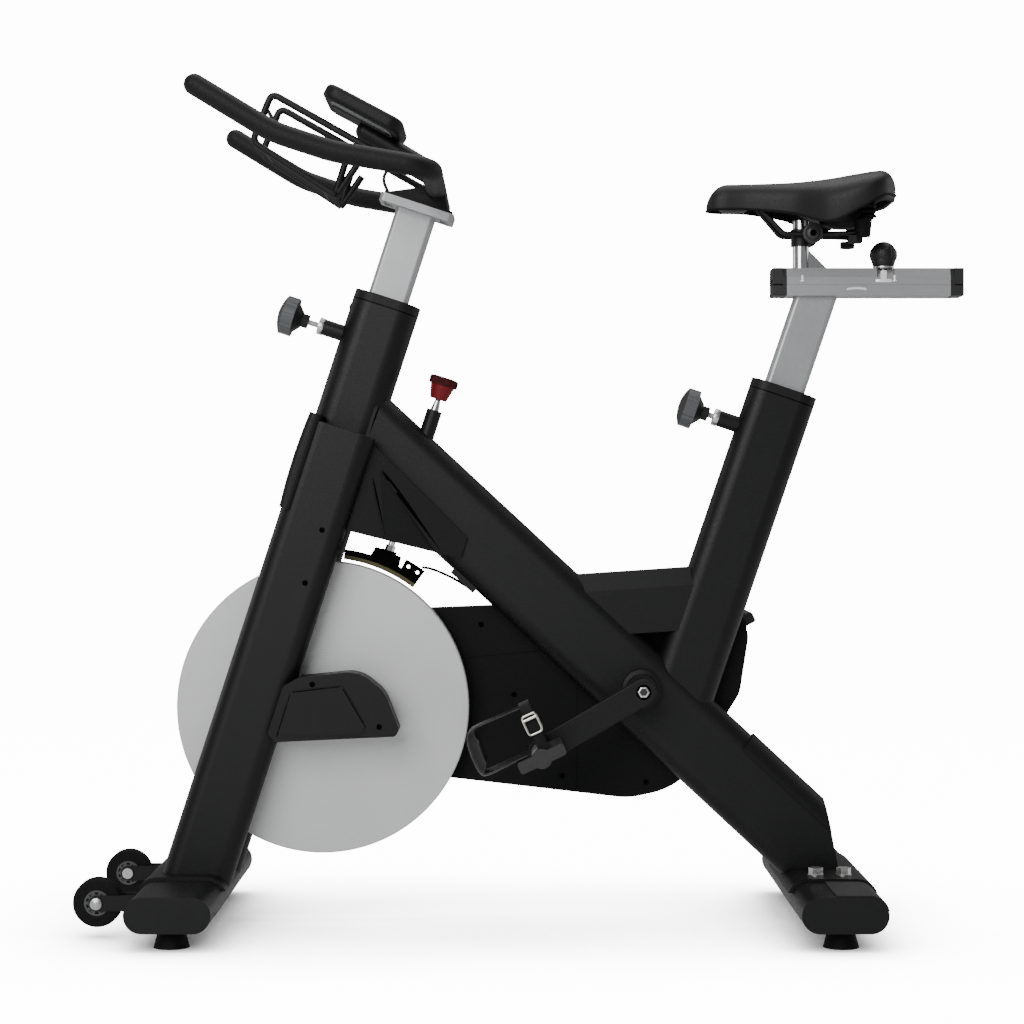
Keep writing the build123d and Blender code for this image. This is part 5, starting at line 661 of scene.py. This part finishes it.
CONE_REACH, RIM_THICK, DOME_REACH = 20.0, 18.0, 40.0
BARREL_END, BARREL_RADIUS = 85.0, 12.0
ring_radius = BARREL_RADIUS + np.array([-2.0, 0.6, 0.9, 0.9, 0.6, -2.0])
ring_height = BARREL_END + np.array([-7.0, -7.0, -6.4, 0.4, 1.0, 1.0])
# X of the tube's middle at the floor, its lean in degrees, the pin's Z and the knob's start along the pin
for where, *measures in (("front", -501.1, 18.0, 851.5, 122.0), ("rear", 114.3, 18.8, 716.0, 114.0)):
    root, way = pin_knob_finish(where + "_pin_knob", where + "_pin", *measures)
    turned(where + "_barrel_ring", ring_radius, ring_height, root, way, zinc, "frame", "zinc", closed=True)

# Crank bolts: plated hex heads sunk in a recess of each crank; the recess is lined black as painted shade,
# so only the heads catch the light.
crank_steel = coated("plated_crank_bolt", {"IOR": 1.5}, ("#0b0b0c", "#131314"), (0.40, 0.50), 8, 2, 0.03)
# Y in metres where the heads begin, and a place past their ends
BOLT_FROM, BOLT_PAST = 0.0930, 0.1
for low, high in ((-BOLT_PAST, -BOLT_FROM), (BOLT_FROM, BOLT_PAST)):
    overlay(crank_steel, (0, 1, 0), low, high, "#c4c5c6", 0.25, 1.0)
dress(crank_steel, "crank_axle")
# Bolt head with its hex socket, the socket's floor and the recess's lining, and the bracket's stepped dust
# cup behind the crank
BOLT_FACE = 1000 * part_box("crank_axle")[1][1]
head_radius = np.array([7.3, 7.3, 6.8, 5.1, 4.9, 4.9])[:, None] * hexagon
head_height = BOLT_FACE + np.array([-3.0, 0.7, 1.1, 1.1, 0.9, -0.3])
# Socket floor: a dark grey hex disc, painted shade in the hole
socket_radius = 5.0 * np.array([0, 1, 1, 0])[:, None] * hexagon
socket_height = BOLT_FACE + np.array([-0.4, -0.4, 0.2, 0.2])
# Recess lining: a black ring round the head, painted shade in the crank's recess
recess_radius = [7.0, 10.2, 10.4, 10.9, 10.9, 7.0]
recess_height = BOLT_FACE + np.array([-3.4, -3.4, 0.9, 0.9, -3.9, -3.9])
cup_radius = [13.0, 13.0, 21.5, 21.8, 22.6, 23.0, 27.4, 28.6, 28.6]
cup_height = [41.5, 47.0, 47.0, 46.4, 44.0, 43.8, 43.8, 43.0, 41.5]
CRANK_SPOT = (168.5, 0, 344.0)
for side, where in SIDES:
    turned(where + "_crank_bolt", head_radius, head_height, CRANK_SPOT, (0, side, 0), zinc, "crankset",
           "zinc", closed=True)
    turned(where + "_crank_socket", socket_radius, socket_height, CRANK_SPOT, (0, side, 0), dark_grey_and_socket_shade,
           "crankset", "zinc")
    turned(where + "_crank_recess", recess_radius, recess_height, CRANK_SPOT, (0, side, 0), black_steel_and_shade,
           "crankset", "black_steel", closed=True)
turned("bracket_dust_cup", cup_radius, cup_height, CRANK_SPOT, (0, -1, 0), moulded_abs, "frame",
       "cover_plastic", closed=True)

# Saddle clamp: a black ball knob with a plated washer pulls a clamp plate up to the carriage; two stop
# screws sit on the carriage's face, and a bright wire along the rail's slot is its rounded edge, the
# brightness a painted highlight.
ball_knob = dielectric("ball_knob_phenolic", 1.55, 0.3, ("#0d0d0e", "#151516"), (0.42, 0.55), 10, 2.5, 0.06)
# Z in metres between which the knob's plated screw shows
STUD_FROM, STUD_TO, UP = 0.9, 0.9648, (0, 0, 1)
overlay(ball_knob, UP, STUD_FROM, STUD_TO, "#8f9092", 0.25, 1.0)
dress(ball_knob, "seat_clamp_knob")
# Skirt under the ball, with its washer, and eight finger pads raised round its middle
BALL_X, BALL_R, PAD_HALF, PAD_RISE, PAD_SINK, PADS = 528.0, 19.5, 8.0, 0.9, 0.2, 8
BALL_Z = 1000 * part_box("seat_clamp_knob")[1][2] - BALL_R
ball_foot, ball_look = (BALL_X, 0, 0), (ball_knob, "clamp_knob", "knob_plastic")
skirt_radius = [17.5, 18.3, 15.9, 15.2, 14.0]
skirt_height = BALL_Z - np.array([4.0, 7.5, 16.0, 17.6, 17.6])
turned("ball_knob_skirt", skirt_radius, skirt_height, ball_foot, UP, *ball_look, closed=True)
washer_radius = [12.0, 15.4, 15.6, 15.6, 15.4, 12.0]
washer_height = BALL_Z - np.array([17.5, 17.5, 17.8, 20.2, 20.5, 20.5])
turned("ball_knob_washer", washer_radius, washer_height, ball_foot, UP, zinc, "clamp_knob", "zinc",
       closed=True)
pad_height = np.linspace(-PAD_HALF - 1, PAD_HALF + 1, 25)[:, None]
pad_turn = around(160)
# A pad is 1 inside its height and inside its share of the turn, and falls to 0 over a short edge
pad_mask = np.clip(PAD_HALF + 0.5 - np.abs(pad_height), 0, 1)
pad_mask = pad_mask * np.clip(6 * (np.cos(PADS * pad_turn) + 0.75), 0, 1)
pad_radius = np.sqrt(BALL_R ** 2 - pad_height ** 2) - PAD_SINK + (PAD_RISE + PAD_SINK) * pad_mask
turned("ball_knob_pads", pad_radius, BALL_Z + pad_height[:, 0], ball_foot, UP, *ball_look, closed=True,
       count=len(pad_turn))
# Stop screws, plated bright, and the slot's edge, whose bright colour is a painted highlight
bright_zinc_and_highlight = coated("bright_plate_and_highlight", {"Metallic": 0.25, "Specular IOR Level": 0.6},
                     ("#e6e6e6", "#f4f4f4"), (0.28, 0.38), 6, 2, 0.02)
stop_radius = [0.0, 4.2, 4.2, 2.1, 2.1, 1.6, 0.0]
stop_height = [0.0, 0.0, 1.6, 1.8, 9.0, 9.6, 9.6]
CARRIAGE_FACE, STOP_SINK, STOP_Z = -25.0, 1.2, 940.5
for number, stop_x in enumerate((405.5, 540.7), 1):
    stop_spot = (stop_x, CARRIAGE_FACE + STOP_SINK, STOP_Z)
    turned("stop_screw_{}".format(number), stop_radius, stop_height, stop_spot, UP, bright_zinc_and_highlight, "carriage",
           "chrome", count=20)
slot_turn = np.linspace(0, math.pi, 40)
SLOT_X, SLOT_Z, SLOT_HALF, SLOT_RISE, SLOT_WIRE = 485.0, 928.0, 13.0, 3.0, 2.0
slot_path = np.stack([SLOT_X - SLOT_HALF * np.cos(slot_turn),
                      SLOT_Z + SLOT_RISE * np.sin(slot_turn) ** 0.6], -1)
wire_rod("rail_slot_edge_highlight", slot_path, CARRIAGE_FACE, SLOT_WIRE, bright_zinc_and_highlight, "seat_post", "chrome")
# Clamp plate: the screw's flattened foot and a plate under it on the carriage's near face; the middle's Z,
# length and height of each
PLATE_X = 524.5
plate_share = np.array([0.0, 1.0, 1.0, 0.9, 0.0])[:, None, None]
plate_proud = np.array([-2.0, -2.0, 1.2, 1.8, 1.8])[:, None]
for name, plate_z, length, tall in (("clamp_screw_foot", 950.5, 9.2, 12.8),
                                    ("clamp_plate", 941.8, 23.6, 5.0)):
    plate_xz = (PLATE_X, plate_z) + plate_share * rounded(around(64), PLATE_CORNER, length, tall)
    plate_y = np.broadcast_to(CARRIAGE_FACE - plate_proud, plate_xz.shape[:2])
    plate_grid = np.stack([plate_xz[..., 0], plate_y, plate_xz[..., 1]], -1) / 1000
    tube(name, plate_grid, bright_zinc_and_highlight, "carriage", caps=False)

# Knuckle bolt through the saddle clamp's barrel: a stepped round washer with a hex socket head, blackened;
# the socket is a black hex laid on the head's closed top, painted shade in the hole.
KNUCKLE_X, KNUCKLE_Z, KNUCKLE_FACE = 420.0, 1011.0, 29.3
knuckle_radius = [0.0, 11.5, 14.8, 15.0, 14.4, 11.2, 10.6, 8.8, 8.6, 8.0, 0.0]
knuckle_height = [-0.5, -0.5, 0.2, 0.8, 2.4, 2.8, 1.4, 1.4, 4.8, 5.2, 5.2]
hollow_radius, hollow_height = 4.6 * np.array([0, 1, 1, 0])[:, None] * hexagon, [4.9, 4.9, 5.4, 5.4]
for side, where in SIDES:
    spot = (KNUCKLE_X, side * KNUCKLE_FACE, KNUCKLE_Z)
    turned(where + "_knuckle_bolt", knuckle_radius, knuckle_height, spot, (0, side, 0), dark_grey_and_socket_shade,
           "saddle", "black_steel")
    turned(where + "_knuckle_socket", hollow_radius, hollow_height, spot, (0, side, 0), black_steel_and_shade,
           "saddle", "black_steel")

# Saddle cushion: polyurethane foam under a stretched vinyl cover, pulled round the shell's edge.
# The cover is tight, so the form is smooth: a long flat nose, drawn-in waist and a raised wide rear.
vinyl = dielectric("saddle_vinyl", 1.5, 0.3, ("#0b0b0c", "#121213"), (0.48, 0.60), 30, 2.5, 0.2)
# Stations from the nose: X, half width, lower edge, crown before the ends are rounded, in millimetres
saddle_stations = [(266, 16, 1047, 1083), (282, 25, 1047, 1085), (330, 29, 1046, 1086),
                   (390, 48, 1038, 1087.5), (438, 84, 1023, 1091), (486, 97, 1044, 1098),
                   (515, 88, 1060, 1102), (540, 54, 1064, 1103)]
NOSE_ROUND, REAR_ROUND, SADDLE_ROWS = 31.0, 28.0, 110
CAVITY, CAVITY_SHARE = 16.0, 0.6
saddle_fine = smooth_rows(saddle_stations, 900)
nose_x, rear_x = saddle_stations[0][0], saddle_stations[-1][0]
# Rows crowd towards both ends, where the form turns over
row_turn = np.linspace(0.10, math.pi - 0.07, SADDLE_ROWS)
saddle_x = (nose_x + rear_x) / 2 - (rear_x - nose_x) / 2 * np.cos(row_turn)
half, low, top = (np.interp(saddle_x, saddle_fine[:, 0], column) for column in saddle_fine.T[1:])
nose_share = np.clip((nose_x + NOSE_ROUND - saddle_x) / NOSE_ROUND, 0, 1)
rear_share = np.clip((saddle_x - rear_x + REAR_ROUND) / REAR_ROUND, 0, 1)
# The nose ends in a quarter ellipse, the blunter rear in a quarter of a cubic superellipse
nose_drop = np.sqrt(1 - nose_share ** 2)
rear_drop = (1 - rear_share ** 3) ** (1 / 3)
height = ((top - low) * nose_drop * rear_drop)[:, None]
half = (half * nose_drop ** 0.5 * rear_drop ** 0.3)[:, None]
low = low[:, None]
inner_z = low + np.minimum(CAVITY, CAVITY_SHARE * height)
# Section points from the right underside over the crown to the left underside: share of half width, height
across = np.array([0.0, 0.5, 0.90, 0.955, 1.0, 0.97, 0.86, 0.62, 0.32])
upward = np.array([0.0, 0.38, 0.60, 0.77, 0.93, 0.985])
right_z = np.hstack([inner_z, inner_z, inner_z, low + upward * height])
right_y = across * half
section_y = np.hstack([right_y, 0 * half, -right_y[:, :0:-1]])
section_z = np.hstack([right_z, low + height, right_z[:, :0:-1]])
section = np.stack([np.broadcast_to(saddle_x[:, None], section_y.shape), section_y, section_z], -1)
cushion_grid = smooth_rows(section.transpose(1, 0, 2), 120).transpose(1, 0, 2) / 1000
cushion = skin("saddle_cushion", cushion_grid, vinyl, wrap_columns=True, caps=True, sharp=math.radians(70))
fix(cushion, "saddle")
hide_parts("saddle_pad")

# Saddle edge: a thin rubber bead closes the cover's lower edge all round, and the moulded base shows below
# it as a rounded lip at the rear and as a grey insert under the nose.


def bead(name, path, thick, tall, material):
    """Tube on a path in millimetres: an ellipse, thick across the path and tall upwards, swept along it."""
    oval = round_profile(1.0, 12)
    out = normals(path[:, :2])[:, None] * oval[None, :, :1] * thick / 2
    rise = path[:, None, 2:] + oval[None, :, 1:] * tall / 2
    grid = np.concatenate([path[:, None, :2] + out, rise], -1) / 1000
    tube(name, grid, material, "saddle")


BEAD_THICK, BEAD_TALL, LIP_FROM, LIP_INSET, LIP_THICK, LIP_TALL = 3.0, 3.6, 502.0, 3.5, 6.0, 11.0
edge_y = across[3] * half[:, 0]
edge_path = np.stack([saddle_x, edge_y, low[:, 0]], -1)
for side, where in SIDES:
    bead(where + "_saddle_bead", edge_path * (1, side, 1), BEAD_THICK, BEAD_TALL, foot_rubber)
lip_side = edge_path[saddle_x > LIP_FROM] - (LIP_INSET, 0, LIP_INSET)
lip_path = np.concatenate([lip_side * (1, -1, 1), lip_side[::-1]])
bead("saddle_rear_lip", lip_path, LIP_THICK, LIP_TALL, moulded_abs)
# Moulded base: a flat pan that fills the cushion's underside
PAN_SHARE, PAN_TOP, PAN_FOOT = 0.88, 0.4, -3.4
pan_y = np.array([-1.0, -0.5, 0.0, 0.5, 1.0, 1.0, 0.5, 0.0, -0.5, -1.0]) * (PAN_SHARE * half)
pan_z = inner_z + np.repeat([PAN_TOP, PAN_FOOT], 5)
pan_grid = np.stack([np.broadcast_to(saddle_x[:, None], pan_y.shape), pan_y, pan_z], -1) / 1000
pan = tube("saddle_base_pan", pan_grid, moulded_abs, "saddle")
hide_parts("saddle_shell")
base_grey = dielectric("grey_polypropylene", 1.5, 0.3, ("#2b2b2c", "#353536"), (0.45, 0.58), 12, 2.5, 0.08)
# Nose insert, and the keel that hangs between the wire rails: ellipsoids with cut ends, the keel's blunter
pod_along = np.linspace(-1, 1, 25)
pod_size = np.sqrt(1 - 0.98 * pod_along ** 2)
# Finish, power of the radius, middle, and half length, half width and drop
for name, material, power, spot, reach in (
        ("saddle_nose_insert", base_grey, 1.0, (306.0, 0, 1050.0), (22.0, 17.0, 7.5)),
        ("saddle_base_keel", moulded_abs, 0.5, (468.0, 0, 1046.0), (37.0, 19.0, 27.0))):
    pod_grid = spun(pod_size ** power, pod_along, (0, 0, 0), (1, 0, 0), 32) * reach + np.array(spot) / 1000
    tube(name, pod_grid, material, "saddle")

# Bumpers: moulded rubber bellows over a tapered cup, which steps forward to the rails' rear ends; a black
# nut closes each from below.
BUMPER_Y, CUP_LOW, CUP_TOP, FOLD_TOP, BUMPER_TOP, FOLD_PITCH = 40.0, 1004.0, 1031.0, 1055.0, 1067.0, 7.8
bumper_z = np.linspace(CUP_LOW + 1, BUMPER_TOP, 125)
# Radius: the cup widens upwards, then folds as a cosine, then a plain neck up into the base
cup_size = np.interp(bumper_z, [CUP_LOW, CUP_TOP], [10.8, 13.8])
fold_size = 11.7 + 1.4 * np.cos(2 * math.pi * (bumper_z - CUP_TOP - 3) / FOLD_PITCH)
bumper_size = np.where(bumper_z < CUP_TOP, cup_size, np.where(bumper_z < FOLD_TOP, fold_size, 11.2))
bumper_size = np.concatenate([[0, 10.2], bumper_size, [0]])
bumper_z = np.concatenate([[CUP_LOW] * 2, bumper_z, [BUMPER_TOP]])
CUP_X, FOLD_X, NUT_X = 491.5, 498.8, 480.5
bumper_x = np.interp(bumper_z, [CUP_TOP - 2, CUP_TOP + 2], [CUP_X, FOLD_X])[:, None, None] * (1, 0, 0) / 1000
nut_size, nut_z = np.array([0, 9.0, 10.0, 10.0, 0])[:, None] * hexagon, [995.6, 995.6, 996.4, 1005.5, 1005.5]
for side, where in SIDES:
    bumper_grid = spun(bumper_size, bumper_z, (0, side * BUMPER_Y, 0), UP) + bumper_x
    bumper = tube(where + "_saddle_bumper", bumper_grid, foot_rubber, "saddle", caps=False)
    turned(where + "_bumper_nut", nut_size, nut_z, (NUT_X, side * BUMPER_Y, 0), UP, moulded_abs, "saddle",
           "black_steel")
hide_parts("saddle_bumpers")

# Studio: a matt white paper floor under a bright white surround, a large soft box at the front left, one
# overhead and a small one behind each end. The camera is square to the bike's left side.


def glow_for_camera(tree, strength):
    """Emission that only the camera's own rays see: the paper looks lit and sends no light to the bike."""
    seen = add(tree, "ShaderNodeLightPath").outputs["Is Camera Ray"]
    return add(tree, "ShaderNodeMath", {"operation": "MULTIPLY", 1: strength}, {0: seen}).outputs[0]


floor_paper, tree, shader, place = finish("matt_white_paper", {"Specular IOR Level": 0.1, "IOR": 1.4})
grained(tree, shader, place, ("#f1f1f1", "#f4f4f4"), (0.85, 0.9), 900, 40, 0.0)
shader.inputs["Emission Color"].default_value = (1.0, 1.0, 1.0, 1.0)
# Contact shade: the glow fades where the bike closes off the sky within this reach
PAPER_GLOW, SKY_LIGHT, SHADE_REACH, SHADE_POWER = 14.0, 0.26, 0.45, 3.0
open_sky = add(tree, "ShaderNodeAmbientOcclusion", {"Distance": SHADE_REACH, "samples": 12})
shade = add(tree, "ShaderNodeMath", {"operation": "POWER", 1: SHADE_POWER}, {0: open_sky.outputs["AO"]})
lit_paper = add(tree, "ShaderNodeMath", {"operation": "MULTIPLY"},
                {0: shade.outputs[0], 1: glow_for_camera(tree, PAPER_GLOW)})
tree.links.new(lit_paper.outputs[0], shader.inputs["Emission Strength"])
floor_mesh = bpy.data.meshes.new("studio_floor")
floor_mesh.from_pydata([(-9, -7, 0), (9, -7, 0), (9, 9, 0), (-9, 9, 0)], [], [(0, 1, 2, 3)])
floor_mesh.materials.append(floor_paper)
floor = bpy.data.objects.new("studio_floor", floor_mesh)
bpy.context.scene.collection.objects.link(floor)

world = bpy.data.worlds.new("studio_white")
bpy.context.scene.world = world
world.use_nodes = True
tree = world.node_tree
surround = tree.nodes["Background"]
surround.inputs["Color"].default_value = (1.0, 1.0, 1.0, 1.0)
lift = add(tree, "ShaderNodeMath", {"operation": "ADD", 1: SKY_LIGHT},
           {0: glow_for_camera(tree, PAPER_GLOW)})
tree.links.new(lift.outputs[0], surround.inputs["Strength"])


def soft_box(name, place, size, power):
    """Square lamp at a place, turned so that its face looks at the bike's middle."""
    lamp = bpy.data.lights.new(name, "AREA")
    lamp.size = size
    lamp.energy = power
    holder = bpy.data.objects.new(name, lamp)
    holder.location = place
    holder.rotation_euler = (Vector(place) - Vector(BIKE_MIDDLE)).to_track_quat("Z", "Y").to_euler()
    bpy.context.scene.collection.objects.link(holder)


BIKE_MIDDLE = (0, 0, 0.6)
soft_box("key_light", (-1.5, -3.8, 2.3), 2.8, 170)
soft_box("top_light", (0.2, 0.4, 3.4), 2.8, 70)
soft_box("left_rim_light", (-3.4, 1.4, 1.4), 2.0, 20)
soft_box("right_rim_light", (3.4, 1.4, 1.4), 2.0, 20)

camera = bpy.data.cameras.new("photo_camera")
camera.lens = 80.92
camera.sensor_width = 36.0
camera.shift_x = 0.0005
camera.shift_y = -0.0078
holder = bpy.data.objects.new("photo_camera", camera)
holder.location = (-0.0213, -3.400, 0.6143)
holder.rotation_euler = (math.radians(90), 0, 0)
bpy.context.scene.collection.objects.link(holder)
bpy.context.scene.camera = holder
